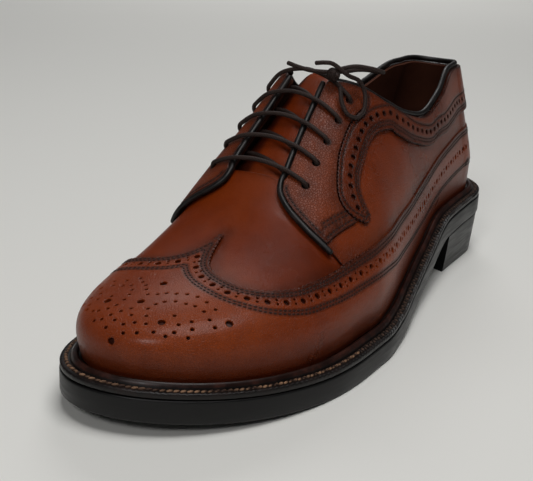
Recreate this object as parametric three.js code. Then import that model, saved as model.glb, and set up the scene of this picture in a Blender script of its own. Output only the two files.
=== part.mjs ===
// A longwing brogue for the left foot, as a maker puts it together: outsole, heel, storm welt, insole,
// a hollow last-shaped upper, the overlays on it, the tongue and the tied lace.
// Millimetres. +X runs to the toe, +Y to the outer (lateral) side, +Z up from the floor.
import * as THREE from 'three';
import { mergeVertices } from 'three/addons/utils/BufferGeometryUtils.js';

// Driving dimensions
const LENGTH = 306; // heel to toe over the sole
const BALL_WIDTH = 108.5; // widest part of the sole
const HEEL_CENTRE = 38; // centre of the round heel, from the back of the sole
const TOE_CENTRE = 210; // centre of the toe fan, from the back of the sole
const TOE_SWING = 8; // how far the toe tip bends to the inner side
const HEEL_HEIGHT = 24.5; // floor to the underside of the sole at the back
const TOE_SPRING = 6.5; // floor to the underside of the sole at the toe tip
const SOLE_THICKNESS = 9.6;
const WELT_THICKNESS = 2.6;
const WELT_WIDTH = 9; // from the sole's edge in to the upper
const WELT_UNDERLAP = 7; // how far the welt runs in under the upper
const BEAD_WIDTH = 3.3; // the raised bead of the storm welt
const BEAD_HEIGHT = 2.4;
const BEAD_GAP = 0.65; // clearance between the bead and the upper
const HEEL_LENGTH = 72; // back of the sole to the heel's breast
const HEEL_HOLLOW = 6; // how far the breast curves back
const HEEL_TAPER = 2.2; // inward slope of the heel's wall, top to bottom
const EDGE_ROUND = 1.1; // rounding of the sole's two edges
const INSOLE_THICKNESS = 3;
const INSOLE_GAP = 1; // clearance round the insole's edge
const INSTEP_HEIGHT = 111; // floor to the ridge of the instep at the top of the facings
const COLLAR_HEIGHT = 103; // floor to the topline at the back
const WALL = 2; // leather and lining of the upper
const OVERLAY = 1.1; // one leather of an overlay
const COVER = 1.2; // how far the base of the upper lies under the last's outer surface
const GAP = 0.35; // clearance between curved pieces
const THROAT = 196; // front end of the opening, from the back of the sole
const FACING_TOP = 151; // top end of the facings
const QUARTER_FRONT = 207; // front edge of the quarters
const THROAT_HALF = 15; // ridge to facing edge at the throat, along the leather
const FACING_TOP_HALF = 10.3; // ridge to facing edge at the top
const COLLAR_FRONT = 131; // where the collar's curve turns up into the facing
const LACE = 2; // diameter of the round lace
const EYELET_ROW = 24; // ridge to the eyelets, along the leather
const EYELET_PAIRS = 5;
const FIRST_EYELET = 194.5; // station of the front pair
const EYELET_STEP = 10.9; // from pair to pair along the sole
const PIPING = 1.1; // radius of the piped edge
const BINDING = 1.25; // radius of the rolled collar binding
const BINDING_GAP = 0.75; // clearance between the binding and the leather's edge
const TONGUE_THICKNESS = 2.6;
const TONGUE_DROP = 3.2; // the tongue's clearance under the facings, for the lace that crosses there
const TONGUE_GAP = 1.1; // clearance under the vamp at its root
const TONGUE_TOP = 143;
const TONGUE_ROOT = 204;
const TONGUE_HALF = 24;
const TONGUE_NARROWING = 0.25; // share by which it narrows towards its root
const TONGUE_RAMP = 10; // length over which it narrows and rises at the throat
const RISE_BEFORE = 3; // how far behind the throat the tongue begins to rise
const RISE_AFTER = 6; // how far ahead of the throat it has risen
const WELT_CHAMFER = 0.5; // rounding of the welt's outer edge and of the bead's foot
const WING_STEP = 0.6; // how much thicker the wing is where the quarter lies beside it
const WING_STEP_RUN = 16; // over this length behind the throat it comes up to that
const VAMP_HALF = 9; // girth kept free at the ridge over the toe
const BINDING_END = 4; // the binding stops this far behind the facing's top
const PIPING_SINK = 0.3; // how far the piping sinks under its own radius
const PIPING_START = 2; // how far its upper end stays from the facing's top
const PIPING_TURN = 3; // how far behind the throat it begins to turn
const STRAND_GAP = 0.5; // clearance over the strands that cross under the facings
const BAR_ARCH = 0.3; // how far a bar lifts between the facings
const KNOT_RADIUS = 2.7;
const KNOT_GAP = 0.6; // clearance between the knot and the bar under it
const KNOT_ROW = 12.5; // ridge to the knot, along the leather

// Sections of the sole: station as a share of LENGTH, half widths as shares of BALL_WIDTH.
const PLAN = [
  { at: 0.124, lateral: 0.327, medial: 0.332 },
  { at: 0.245, lateral: 0.341, medial: 0.323 },
  { at: 0.359, lateral: 0.387, medial: 0.300 },
  { at: 0.458, lateral: 0.442, medial: 0.304 },
  { at: 0.556, lateral: 0.507, medial: 0.350 },
  { at: 0.627, lateral: 0.535, medial: 0.419 },
  { at: 0.686, lateral: 0.535, medial: 0.465 },
  { at: 0.699, lateral: 0.535, medial: 0.465 },
];
// Underside of the sole: shares of HEEL_HEIGHT and of TOE_SPRING above the floor.
const UNDERSIDE = [
  { at: 0.000, heel: 1.000, toe: 0.000 },
  { at: 0.235, heel: 0.878, toe: 0.000 },
  { at: 0.359, heel: 0.429, toe: 0.000 },
  { at: 0.490, heel: 0.106, toe: 0.000 },
  { at: 0.647, heel: 0.000, toe: 0.000 },
  { at: 0.752, heel: 0.000, toe: 0.000 },
  { at: 0.850, heel: 0.000, toe: 0.246 },
  { at: 1.000, heel: 0.000, toe: 1.000 },
];
// Sections of the last. ridge and belly: shares of INSTEP_HEIGHT. shift of the ridge and bulge past the
// feather edge: shares of BALL_WIDTH. wall and crown: fullness of the side wall and of the top.
const LAST = [
  { at: 0.124, ridge: 1.306, shift: 0.000, belly: 0.162, bulge: 0.004, wall: 0.02, crown: 0.32,
    bulgeIn: 0.006, wallIn: 0.02, crownIn: 0.34 },
  { at: 0.245, ridge: 1.315, shift: -0.028, belly: 0.162, bulge: 0.009, wall: 0.24, crown: 0.54,
    bulgeIn: 0.028, wallIn: 0.24, crownIn: 0.54 },
  { at: 0.359, ridge: 1.252, shift: -0.065, belly: 0.162, bulge: 0.009, wall: 0.27, crown: 0.48,
    bulgeIn: 0.060, wallIn: 0.36, crownIn: 0.64 },
  { at: 0.425, ridge: 1.126, shift: -0.088, belly: 0.162, bulge: 0.009, wall: 0.36, crown: 0.56,
    bulgeIn: 0.069, wallIn: 0.48, crownIn: 0.78 },
  { at: 0.490, ridge: 1.000, shift: -0.100, belly: 0.153, bulge: 0.009, wall: 0.40, crown: 0.58,
    bulgeIn: 0.065, wallIn: 0.56, crownIn: 0.86 },
  { at: 0.556, ridge: 0.851, shift: -0.097, belly: 0.144, bulge: 0.014, wall: 0.42, crown: 0.56,
    bulgeIn: 0.051, wallIn: 0.58, crownIn: 0.86 },
  { at: 0.621, ridge: 0.716, shift: -0.083, belly: 0.135, bulge: 0.018, wall: 0.42, crown: 0.52,
    bulgeIn: 0.037, wallIn: 0.58, crownIn: 0.82 },
  { at: 0.686, ridge: 0.577, shift: -0.046, belly: 0.126, bulge: 0.018, wall: 0.42, crown: 0.50,
    bulgeIn: 0.028, wallIn: 0.56, crownIn: 0.76 },
];
// The last's foremost and rearmost sections, in the same shares.
const TOE_SECTION = { bulge: 0.018, belly: 0.099, wall: 0.54, crown: 0.45 };
const HEEL_SECTION = { bulge: 0.017, belly: 0.162, wall: 0.06, crown: 0.36 };
const TOE_ROUNDNESS = 2.05;
const HEEL_ROUNDNESS = 2.2;
const TUCK = 1.25; // how steeply the wall starts at the feather edge
// Topline of the collar, and upper edge of the long wing: shares of COLLAR_HEIGHT above the floor.
const COLLAR = [
  { at: 0.000, topline: 1.000, wing: 0.699 },
  { at: 0.065, topline: 1.019, wing: 0.697 },
  { at: 0.147, topline: 1.010, wing: 0.684 },
  { at: 0.229, topline: 0.917, wing: 0.647 },
  { at: 0.310, topline: 0.845, wing: 0.583 },
  { at: 0.376, topline: 0.883, wing: 0.534 },
  { at: 0.425, topline: 0.951, wing: 0.507 },
  { at: 0.516, topline: 1.050, wing: 0.476 },
  { at: 0.595, topline: 1.100, wing: 0.456 },
  { at: 0.686, topline: 1.150, wing: 0.425 },
];
// Upper edge of the wing over the toe: angle from the peak in degrees, reach from the toe's centre as a
// share of the length in front of it.
const PEAK_ANGLE = 6; // the peak lies on the inner side of the ridge
const PEAK_ENDS = 60; // angle from the peak at which the edge starts to turn into the side's
const SIDE_STARTS = 90; // and at which it has done so
const PEAK = [
  { at: 0, reach: 0.193 },
  { at: 4, reach: 0.271 },
  { at: 8, reach: 0.349 },
  { at: 12, reach: 0.411 },
  { at: 18, reach: 0.464 },
  { at: 27, reach: 0.521 },
  { at: 36, reach: 0.568 },
  { at: 46, reach: 0.583 },
  { at: 58, reach: 0.573 },
  { at: 74, reach: 0.552 },
  { at: 96, reach: 0.547 },
];
// Depth of the collar overlay under the topline: station as a share of COLLAR_FRONT, depth as a share of
// COLLAR_HEIGHT.
const COLLAR_BAND = [
  { at: 0.000, depth: 0.2136 },
  { at: 0.367, depth: 0.2330 },
  { at: 0.505, depth: 0.1942 },
  { at: 0.626, depth: 0.1505 },
  { at: 0.825, depth: 0.1311 },
  { at: 1.023, depth: 0.1505 },
];
// Rear edge of the facing: station as a share of the way from FACING_TOP to QUARTER_FRONT, girth from the
// ridge as a share of INSTEP_HEIGHT.
const FACING_TURN = 0.456; // where the edge turns down to its tail
const FACING_EDGE = [
  { at: 0.000, girth: 0.3838 },
  { at: 0.232, girth: 0.3946 },
  { at: 0.375, girth: 0.4090 },
  { at: FACING_TURN, girth: 0.4459 },
  { at: 0.500, girth: 0.5315 },
  { at: 0.626, girth: 0.4865 },
  { at: 0.910, girth: 0.4009 },
  { at: 1.019, girth: 0.3784 },
];
// Front edge of the quarter, and the piping along it: station as a share of the way from THROAT to
// QUARTER_FRONT, and how far down from the throat's edge as a share of the way to the facing's lower corner.
const QUARTER_EDGE = [
  { at: 0.013, down: 0.000 },
  { at: 0.375, down: 0.022 },
  { at: 0.681, down: 0.146 },
  { at: 0.848, down: 0.401 },
  { at: 1.000, down: 0.765 },
];
const PIPED_FRONT = [
  { at: 0.194, down: -0.080 },
  { at: 0.639, down: -0.015 },
  { at: 1.000, down: 0.226 },
  { at: 1.182, down: 0.583 },
  { at: 1.204, down: 0.911 },
  { at: 1.098, down: 1.184 },
];

// A smooth curve through a table's rows that never swings past them.
function curve(table, column, atScale = 1, scale = 1) {
  const xs = table.map((row) => row.at * atScale);
  const ys = table.map((row) => row[column] * scale);
  const steps = xs.slice(1).map((x, i) => (ys[i + 1] - ys[i]) / (x - xs[i]));
  const slopes = ys.map((_, i) => {
    if (i === 0) {
      return steps[0];
    }
    if (i === ys.length - 1) {
      return steps[i - 1];
    }
    if (steps[i - 1] * steps[i] <= 0) {
      return 0;
    }
    const before = xs[i] - xs[i - 1];
    const after = xs[i + 1] - xs[i];
    const weight = (before + 2 * after) / (3 * (before + after));
    return 1 / (weight / steps[i - 1] + (1 - weight) / steps[i]);
  });
  return (x) => {
    if (x <= xs[0]) {
      return ys[0];
    }
    const last = xs.length - 1;
    if (x >= xs[last]) {
      return ys[last];
    }
    const i = xs.findIndex((edge) => edge > x) - 1;
    const width = xs[i + 1] - xs[i];
    const t = (x - xs[i]) / width;
    const rise = ys[i + 1] - ys[i];
    const start = slopes[i] * width;
    const end = slopes[i + 1] * width;
    return ys[i] + t * (start + t * (3 * rise - 2 * start - end + t * (start + end - 2 * rise)));
  };
}

const mix = (a, b, t) => a + (b - a) * t;
const clamp = (x, low, high) => Math.min(high, Math.max(low, x));
const smooth = (x, from, to) => {
  const t = clamp((x - from) / (to - from), 0, 1);
  return t * t * (3 - 2 * t);
};

const plan = {
  1: curve(PLAN, 'lateral', LENGTH, BALL_WIDTH),
  [-1]: curve(PLAN, 'medial', LENGTH, BALL_WIDTH),
};
const undersideHeel = curve(UNDERSIDE, 'heel', LENGTH, HEEL_HEIGHT);
const undersideToe = curve(UNDERSIDE, 'toe', LENGTH, TOE_SPRING);
const underside = (x) => undersideHeel(x) + undersideToe(x);
const ridge = curve(LAST, 'ridge', LENGTH, INSTEP_HEIGHT);
const shift = curve(LAST, 'shift', LENGTH, BALL_WIDTH);
const belly = curve(LAST, 'belly', LENGTH, INSTEP_HEIGHT);
const sides = {
  1: {
    bulge: curve(LAST, 'bulge', LENGTH, BALL_WIDTH),
    wall: curve(LAST, 'wall', LENGTH),
    crown: curve(LAST, 'crown', LENGTH),
  },
  [-1]: {
    bulge: curve(LAST, 'bulgeIn', LENGTH, BALL_WIDTH),
    wall: curve(LAST, 'wallIn', LENGTH),
    crown: curve(LAST, 'crownIn', LENGTH),
  },
};
const topline = curve(COLLAR, 'topline', LENGTH, COLLAR_HEIGHT);
const wingHeight = curve(COLLAR, 'wing', LENGTH, COLLAR_HEIGHT);
const toeLength = LENGTH - TOE_CENTRE;
const peakReach = curve(PEAK, 'reach', 1, toeLength);
const shareOf = (x, from, to) => (x - from) / (to - from);
const bandShare = curve(COLLAR_BAND, 'depth');
const bandDepth = (x) => COLLAR_HEIGHT * bandShare(x / COLLAR_FRONT);
const edgeShare = curve(FACING_EDGE, 'girth');
const facingEdge = (x) => INSTEP_HEIGHT * edgeShare(shareOf(x, FACING_TOP, QUARTER_FRONT));
const downFacing = (share) => mix(THROAT_HALF, facingEdge(QUARTER_FRONT), share);
const quarterShare = curve(QUARTER_EDGE, 'down');
const quarterEdge = (x) => downFacing(quarterShare(shareOf(x, THROAT, QUARTER_FRONT)));
const ridgeSlope = (ridge(TOE_CENTRE - 2) - ridge(TOE_CENTRE)) / 2;
const featherRise = SOLE_THICKNESS + GAP + WELT_THICKNESS + GAP;
const swing = (x) => -TOE_SWING * Math.max(0, (x - TOE_CENTRE) / toeLength) ** 2;

// Reach of the sole's outline from a fan's centre, as a superellipse.
function fanReach(angle, width, depth, roundness) {
  const across = Math.abs(Math.sin(angle)) / width;
  const along = Math.abs(Math.cos(angle)) / depth;
  return (along ** roundness + across ** roundness) ** (-1 / roundness);
}

// A rib stands on the outline and runs up the last to the ridge. Heel and toe ribs fan about a centre
// and are named by their angle, the ribs between them by their station.
function rib(zone, key, side) {
  const angle = zone === 'side' ? Math.PI / 2 : key;
  let centre = key;
  let reach = plan[side](key);
  let end = null;
  if (zone === 'toe') {
    centre = TOE_CENTRE;
    reach = fanReach(angle, plan[side](centre), toeLength, TOE_ROUNDNESS);
    end = TOE_SECTION;
  }
  if (zone === 'heel') {
    centre = HEEL_CENTRE;
    reach = fanReach(angle, plan[side](centre), HEEL_CENTRE, HEEL_ROUNDNESS);
    end = HEEL_SECTION;
  }
  const form = {
    bulge: sides[side].bulge(centre),
    belly: belly(centre),
    wall: sides[side].wall(centre),
    crown: sides[side].crown(centre),
  };
  if (end) {
    const turn = Math.cos(angle) ** 2;
    form.bulge = mix(form.bulge, end.bulge * BALL_WIDTH, turn);
    form.belly = mix(form.belly, end.belly * INSTEP_HEIGHT, turn);
    form.wall = mix(form.wall, end.wall, turn);
    form.crown = mix(form.crown, end.crown, turn);
  }
  const slope = zone === 'toe' ? ridgeSlope * Math.cos(angle) : 0;
  return { zone, key, side, angle, centre, reach, slope, ...form, top: ridge(centre) };
}

// A point at a distance from a rib's centre line, at a height.
function place(r, distance, height, lean = 0) {
  const x = r.centre + distance * Math.cos(r.angle);
  const fade = r.zone === 'toe' ? clamp(1 - (x - TOE_CENTRE) / toeLength, 0, 1) : 1;
  const y = r.side * distance * Math.sin(r.angle) + swing(x) + lean * shift(r.centre) * fade;
  return new THREE.Vector3(x, y, height);
}

const stationOf = (r, inset) => clamp(r.centre + (r.reach - inset) * Math.cos(r.angle), 0, LENGTH);
const featherHeight = (r) => underside(stationOf(r, WELT_WIDTH)) + featherRise;

const WALL_SHARE = 0.22; // share of the parameter given to the wall under the belly
// The rib's own curve: t = 0 at the ridge, 1 at the feather edge.
function profile(r, t) {
  const foot = featherHeight(r);
  const inner = r.reach - WELT_WIDTH;
  const widest = inner + r.bulge;
  const bellyHeight = foot + r.belly;
  if (t > 1 - WALL_SHARE) {
    const up = (1 - t) / WALL_SHARE;
    const out = Math.sin((up * Math.PI) / 2) ** TUCK;
    return place(r, inner + r.bulge * out, foot + r.belly * up);
  }
  const u = 1 - t / (1 - WALL_SHARE);
  const v = 1 - u;
  const turn = r.crown * widest;
  const a = v * v * v;
  const b = 3 * v * v * u;
  const c = 3 * v * u * u;
  const d = u * u * u;
  // v = 0 is the ridge and v = 1 the belly here, so the weights run the other way.
  const distance = a * widest + b * widest + c * turn;
  const height = a * bellyHeight + b * (bellyHeight + r.wall * (r.top - bellyHeight))
    + c * (r.top - r.slope * turn) + d * r.top;
  const rise = clamp((height - bellyHeight) / (r.top - bellyHeight), 0, 1);
  return place(r, distance, height, rise ** 1.2);
}

const PROFILE_STEPS = 48;
const ribStore = new Map();
// A rib with its curve measured from the ridge down.
function measured(zone, key, side) {
  const name = `${zone} ${key.toFixed(5)} ${side}`;
  if (ribStore.has(name)) {
    return ribStore.get(name);
  }
  const r = rib(zone, key, side);
  r.points = [];
  r.girths = [0];
  for (let i = 0; i <= PROFILE_STEPS; i++) {
    r.points.push(profile(r, i / PROFILE_STEPS));
    if (i > 0) {
      r.girths.push(r.girths[i - 1] + r.points[i].distanceTo(r.points[i - 1]));
    }
  }
  r.girth = r.girths[PROFILE_STEPS];
  ribStore.set(name, r);
  return r;
}

// The parameter at a girth from the ridge, and the girth at which the rib comes down to a height.
function paramAt(r, girth) {
  const g = clamp(girth, 0, r.girth);
  const i = clamp(r.girths.findIndex((edge) => edge >= g), 1, PROFILE_STEPS);
  const part = (g - r.girths[i - 1]) / (r.girths[i] - r.girths[i - 1]);
  return (i - 1 + part) / PROFILE_STEPS;
}
function girthAtHeight(r, height) {
  for (let i = 1; i <= PROFILE_STEPS; i++) {
    if (r.points[i].z <= height) {
      const part = (r.points[i - 1].z - height) / (r.points[i - 1].z - r.points[i].z);
      return mix(r.girths[i - 1], r.girths[i], clamp(part, 0, 1));
    }
  }
  return r.girth;
}

// The outward normal, from the neighbouring rib and from the rib's own curve.
function normalAt(r, t) {
  const spot = clamp(t, 0.03, 0.995);
  const nudge = r.zone === 'side' ? 0.5 : 0.01;
  const low = r.zone === 'side' ? HEEL_CENTRE : 0;
  const high = r.zone === 'side' ? TOE_CENTRE : Math.PI;
  const a = profile(rib(r.zone, clamp(r.key - nudge, low, high), r.side), spot);
  const b = profile(rib(r.zone, clamp(r.key + nudge, low, high), r.side), spot);
  const c = profile(r, spot - 0.004);
  const d = profile(r, spot + 0.004);
  const normal = b.sub(a).cross(d.sub(c)).normalize();
  const outward = new THREE.Vector3(0, r.side, 0);
  if (r.zone !== 'side') {
    outward.set(Math.cos(r.angle), r.side * Math.sin(r.angle), 0);
  }
  outward.z = 0.6;
  return normal.dot(outward) < 0 ? normal.negate() : normal;
}

// A place on the upper: where it is, which way is out, and the two faces of the leather there.
function spot(r, girth, inner, outer) {
  const t = paramAt(r, girth);
  return { point: profile(r, t), normal: normalAt(r, t), inner, outer };
}

// Columns of ribs round one side, back to front.
const HEEL_COLUMNS = 5;
const TOE_ANGLES = [78, 64, 50, 38, 28, 20, 13, 6, 0];
const FACING_TAIL = mix(FACING_TOP, QUARTER_FRONT, FACING_TURN);
const stations = [];
for (const [from, to, count] of [
  [HEEL_CENTRE, COLLAR_FRONT, 7],
  [COLLAR_FRONT, FACING_TOP, 2],
  [FACING_TOP, FACING_TAIL, 2],
  [FACING_TAIL, THROAT, 2],
  [THROAT, QUARTER_FRONT, 2],
]) {
  for (let i = 0; i < count; i++) {
    stations.push(mix(from, to, i / count));
  }
}
stations.push(QUARTER_FRONT);
function heelRibs(side, seam = 0) {
  const found = [];
  for (let i = 0; i < HEEL_COLUMNS; i++) {
    const angle = mix(Math.PI - seam, Math.PI / 2, i / HEEL_COLUMNS);
    found.push(measured('heel', angle, side));
  }
  return found;
}
const sideRibs = (side) => stations.map((x) => measured('side', x, side));
const toeRibs = (side) => [Math.PI / 2, ...TOE_ANGLES.map((a) => (a * Math.PI) / 180)]
  .map((angle) => measured('toe', angle, side));

// The girth of the upper's open edge on a rib: topline or facing edge.
function facingHalf(x) {
  return mix(FACING_TOP_HALF, THROAT_HALF, clamp(shareOf(x, FACING_TOP, THROAT), 0, 1));
}
function openEdge(r) {
  const x = r.zone === 'heel' ? stationOf(r, WELT_WIDTH) : r.key;
  if (r.zone === 'heel' || x <= COLLAR_FRONT) {
    return girthAtHeight(r, topline(x));
  }
  if (x < FACING_TOP) {
    const corner = measured('side', COLLAR_FRONT, r.side);
    const start = girthAtHeight(corner, topline(COLLAR_FRONT));
    return mix(start, FACING_TOP_HALF, shareOf(x, COLLAR_FRONT, FACING_TOP));
  }
  return facingHalf(x);
}

// The wing's upper edge: a height along the side, a reach over the toe.
function wingEdge(r) {
  if (r.zone === 'toe') {
    const signed = (r.side * r.angle * 180) / Math.PI + PEAK_ANGLE;
    const over = peakReach(Math.abs(signed));
    const sideGirth = girthAtHeight(measured('side', TOE_CENTRE, r.side), wingHeight(TOE_CENTRE));
    const back = smooth(Math.abs(signed), PEAK_ENDS, SIDE_STARTS);
    return mix(over, sideGirth, back);
  }
  const x = r.zone === 'heel' ? stationOf(r, WELT_WIDTH) : r.key;
  return girthAtHeight(r, wingHeight(x));
}

// The overlay on facing and collar ends here.
function facingLow(r) {
  const x = r.zone === 'heel' ? stationOf(r, WELT_WIDTH) : r.key;
  const bandEnd = COLLAR_FRONT * COLLAR_BAND[COLLAR_BAND.length - 1].at;
  if (r.zone === 'heel' || x <= bandEnd) {
    return openEdge(r) + bandDepth(x);
  }
  if (x < FACING_TOP) {
    const back = measured('side', bandEnd, r.side);
    const start = openEdge(back) + bandDepth(bandEnd);
    return mix(start, facingEdge(FACING_TOP), shareOf(x, bandEnd, FACING_TOP));
  }
  return facingEdge(x);
}

// Rows of the upper on a rib, as girths: the open edge, the facing's lower edge, the wing's upper edge
// and the feather edge, with rows between them. In front of the throat the first row is the quarter's
// front edge, and over the toe it runs on round the vamp.
const FACING_ROWS = 3;
const QUARTER_ROWS = 2;
const WING_ROWS = 6;
function rowsOf(r) {
  let first = openEdge(r);
  if (r.zone === 'side' && r.key > THROAT) {
    first = quarterEdge(r.key);
  }
  if (r.zone === 'toe') {
    first = mix(VAMP_HALF, quarterEdge(QUARTER_FRONT), Math.sin(r.angle) ** 2);
  }
  const third = wingEdge(r);
  const second = r.zone === 'toe' ? mix(first, third, 0.5) : facingLow(r);
  const rows = [];
  for (let i = 0; i < FACING_ROWS; i++) {
    rows.push(mix(first, second, i / FACING_ROWS));
  }
  for (let i = 0; i < QUARTER_ROWS; i++) {
    rows.push(mix(second, third, i / QUARTER_ROWS));
  }
  for (let i = 0; i <= WING_ROWS; i++) {
    rows.push(mix(third, r.girth, 1 - (1 - i / WING_ROWS) ** 1.25));
  }
  return rows;
}

// A grid of spots on these rows of each rib.
function band(ribs, firstRow, lastRow, inner, outer, trim = 0) {
  return ribs.map((r) => rowsOf(r)
    .slice(firstRow, lastRow + 1)
    .map((girth, i, rows) => (i === rows.length - 1 ? girth - trim : girth))
    .map((girth) => spot(r, girth, inner(r), outer(r))));
}
const WING_ROW = FACING_ROWS + QUARTER_ROWS;
const FEATHER_ROW = WING_ROW + WING_ROWS;

// A grid of spots from the ridge out to a girth.
function crown(ribs, reach, rows, inner, outer) {
  return ribs.map((r) => {
    const column = [];
    for (let i = 0; i <= rows; i++) {
      column.push(spot(r, (reach(r) * i) / rows, inner(r), outer(r)));
    }
    return column;
  });
}

// A closed geometry from points and triangles, faces out.
function bodyFrom(points, triangles) {
  let volume = 0;
  for (const [a, b, c] of triangles) {
    volume += points[a].dot(new THREE.Vector3().crossVectors(points[b], points[c]));
  }
  const index = triangles.flatMap(([a, b, c]) => (volume < 0 ? [a, c, b] : [a, b, c]));
  const geometry = new THREE.BufferGeometry();
  const flat = points.flatMap((p) => [p.x, p.y, p.z]);
  geometry.setAttribute('position', new THREE.Float32BufferAttribute(flat, 3));
  geometry.setIndex(index);
  return geometry;
}

// Leather between two offsets of one surface: grids are joined where their points agree, and every open
// edge gets a wall.
function leather(grids) {
  const index = new Map();
  const spots = [];
  const find = (s) => {
    const name = [s.point.x, s.point.y, s.point.z].map((v) => Math.round(v * 500)).join(' ');
    if (!index.has(name)) {
      index.set(name, spots.length);
      spots.push({ point: s.point, normal: s.normal.clone(), inner: s.inner, outer: s.outer });
    } else {
      spots[index.get(name)].normal.add(s.normal);
    }
    return index.get(name);
  };
  const faces = [];
  for (const grid of grids) {
    const ids = grid.map((column) => column.map(find));
    for (let i = 0; i + 1 < ids.length; i++) {
      for (let j = 0; j + 1 < ids[i].length; j++) {
        faces.push([ids[i][j], ids[i + 1][j], ids[i + 1][j + 1]]);
        faces.push([ids[i][j], ids[i + 1][j + 1], ids[i][j + 1]]);
      }
    }
  }
  spots.forEach((s) => s.normal.normalize());
  const turned = faces
    .filter(([a, b, c]) => a !== b && b !== c && a !== c)
    .map(([a, b, c]) => {
      const across = new THREE.Vector3().subVectors(spots[b].point, spots[a].point);
      const along = new THREE.Vector3().subVectors(spots[c].point, spots[a].point);
      const out = across.cross(along).dot(spots[a].normal);
      return out < 0 ? [a, c, b] : [a, b, c];
    });
  const used = new Set();
  turned.forEach(([a, b, c]) => [[a, b], [b, c], [c, a]].forEach(([p, q]) => used.add(`${p} ${q}`)));
  const count = spots.length;
  const points = [
    ...spots.map((s) => s.point.clone().addScaledVector(s.normal, s.outer)),
    ...spots.map((s) => s.point.clone().addScaledVector(s.normal, s.inner)),
  ];
  const triangles = [];
  for (const [a, b, c] of turned) {
    triangles.push([a, b, c], [a + count, c + count, b + count]);
    for (const [p, q] of [[a, b], [b, c], [c, a]]) {
      if (!used.has(`${q} ${p}`)) {
        triangles.push([p, p + count, q + count], [p, q + count, q]);
      }
    }
  }
  return bodyFrom(points, triangles);
}

// A plate with the sole's outline: rings of inset and height, capped at the first and the last.
function plate(rings) {
  const pairs = outlinePairs();
  const points = [];
  const triangles = [];
  const ids = rings.map(({ inset, height }) => pairs.map((pair) => pair.map((r) => {
    const p = place(r, r.reach - inset, 0);
    p.z = height(p.x);
    points.push(p);
    return points.length - 1;
  })));
  const loopOf = (ring) => [...ring.map((pair) => pair[0]), ...ring.map((pair) => pair[1]).reverse()];
  for (let k = 0; k + 1 < rings.length; k++) {
    const low = loopOf(ids[k]);
    const high = loopOf(ids[k + 1]);
    for (let i = 0; i < low.length; i++) {
      const j = (i + 1) % low.length;
      triangles.push([low[i], low[j], high[j]], [low[i], high[j], high[i]]);
    }
  }
  const cap = (ring, flip) => {
    for (let i = 0; i + 1 < ring.length; i++) {
      const [a, b] = ring[i];
      const [c, d] = ring[i + 1];
      const pair = [[a, c, d], [a, d, b]];
      pair.forEach(([p, q, s]) => triangles.push(flip ? [p, s, q] : [p, q, s]));
    }
  };
  cap(ids[0], true);
  cap(ids[rings.length - 1], false);
  return weld(points, triangles);
}

// Pairs of ribs facing each other across the sole, heel to toe.
function outlinePairs() {
  const lateral = [...heelRibs(1), ...sideRibs(1), ...toeRibs(1)];
  const medial = [...heelRibs(-1), ...sideRibs(-1), ...toeRibs(-1)];
  return lateral.map((r, i) => [r, medial[i]]);
}

// Merges equal points and drops the triangles that vanish.
function weld(points, triangles) {
  const index = new Map();
  const kept = [];
  const ids = points.map((p) => {
    const name = [p.x, p.y, p.z].map((v) => Math.round(v * 500)).join(' ');
    if (!index.has(name)) {
      index.set(name, kept.length);
      kept.push(p);
    }
    return index.get(name);
  });
  const left = triangles
    .map((t) => t.map((i) => ids[i]))
    .filter(([a, b, c]) => a !== b && b !== c && a !== c);
  return bodyFrom(kept, left);
}

// A closed section swept right round the outline. Each point is an inset and a height over the underside.
function ring(section) {
  const right = outlinePairs().map(([r]) => r);
  const left = outlinePairs().map(([, r]) => r).reverse();
  const loop = [...right, ...left.slice(1, -1)];
  const points = [];
  const triangles = [];
  const ids = loop.map((r) => section(r).map(([inset, height]) => {
    const p = place(r, r.reach - inset, 0);
    p.z = underside(clamp(p.x, 0, LENGTH)) + height;
    points.push(p);
    return points.length - 1;
  }));
  for (let i = 0; i < ids.length; i++) {
    const next = ids[(i + 1) % ids.length];
    for (let j = 0; j < next.length; j++) {
      const k = (j + 1) % next.length;
      triangles.push([ids[i][j], next[j], next[k]], [ids[i][j], next[k], ids[i][k]]);
    }
  }
  return bodyFrom(points, triangles);
}

// A round tube along a curve, closed at both ends.
function tube(path, radius, steps, corners = 8) {
  const section = new THREE.Shape();
  for (let i = 0; i <= corners; i++) {
    const angle = (i / corners) * 2 * Math.PI;
    const x = radius * Math.cos(angle);
    const y = radius * Math.sin(angle);
    if (i === 0) {
      section.moveTo(x, y);
    } else {
      section.lineTo(x, y);
    }
  }
  const settings = { steps, bevelEnabled: false, extrudePath: path, curveSegments: 1 };
  let geometry = new THREE.ExtrudeGeometry(section, settings);
  geometry.deleteAttribute('normal');
  geometry.deleteAttribute('uv');
  geometry = mergeVertices(geometry, 1e-3);
  const at = geometry.getAttribute('position');
  const points = [];
  for (let i = 0; i < at.count; i++) {
    points.push(new THREE.Vector3().fromBufferAttribute(at, i));
  }
  const triangles = [];
  for (let i = 0; i < geometry.index.count; i += 3) {
    triangles.push([0, 1, 2].map((k) => geometry.index.getX(i + k)));
  }
  return weld(points, triangles);
}

const along = (points) => new THREE.CatmullRomCurve3(points, false, 'centripetal');
const offsetPoint = (r, girth, offset) => {
  const s = spot(r, girth, 0, 0);
  return s.point.addScaledVector(s.normal, offset);
};

// Layers over the last's surface
const baseOuter = -COVER;
const baseInner = baseOuter - WALL;
const layerLow = baseOuter + GAP;
const layerTop = layerLow + OVERLAY;
const facingLowFace = layerTop + GAP;
const facingTopFace = facingLowFace + OVERLAY;
const stationFor = (r) => (r.zone === 'side' ? r.key : stationOf(r, WELT_WIDTH));
const wingStep = (r) => WING_STEP * (1 - smooth(stationFor(r), THROAT - WING_STEP_RUN, QUARTER_FRONT));

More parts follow.
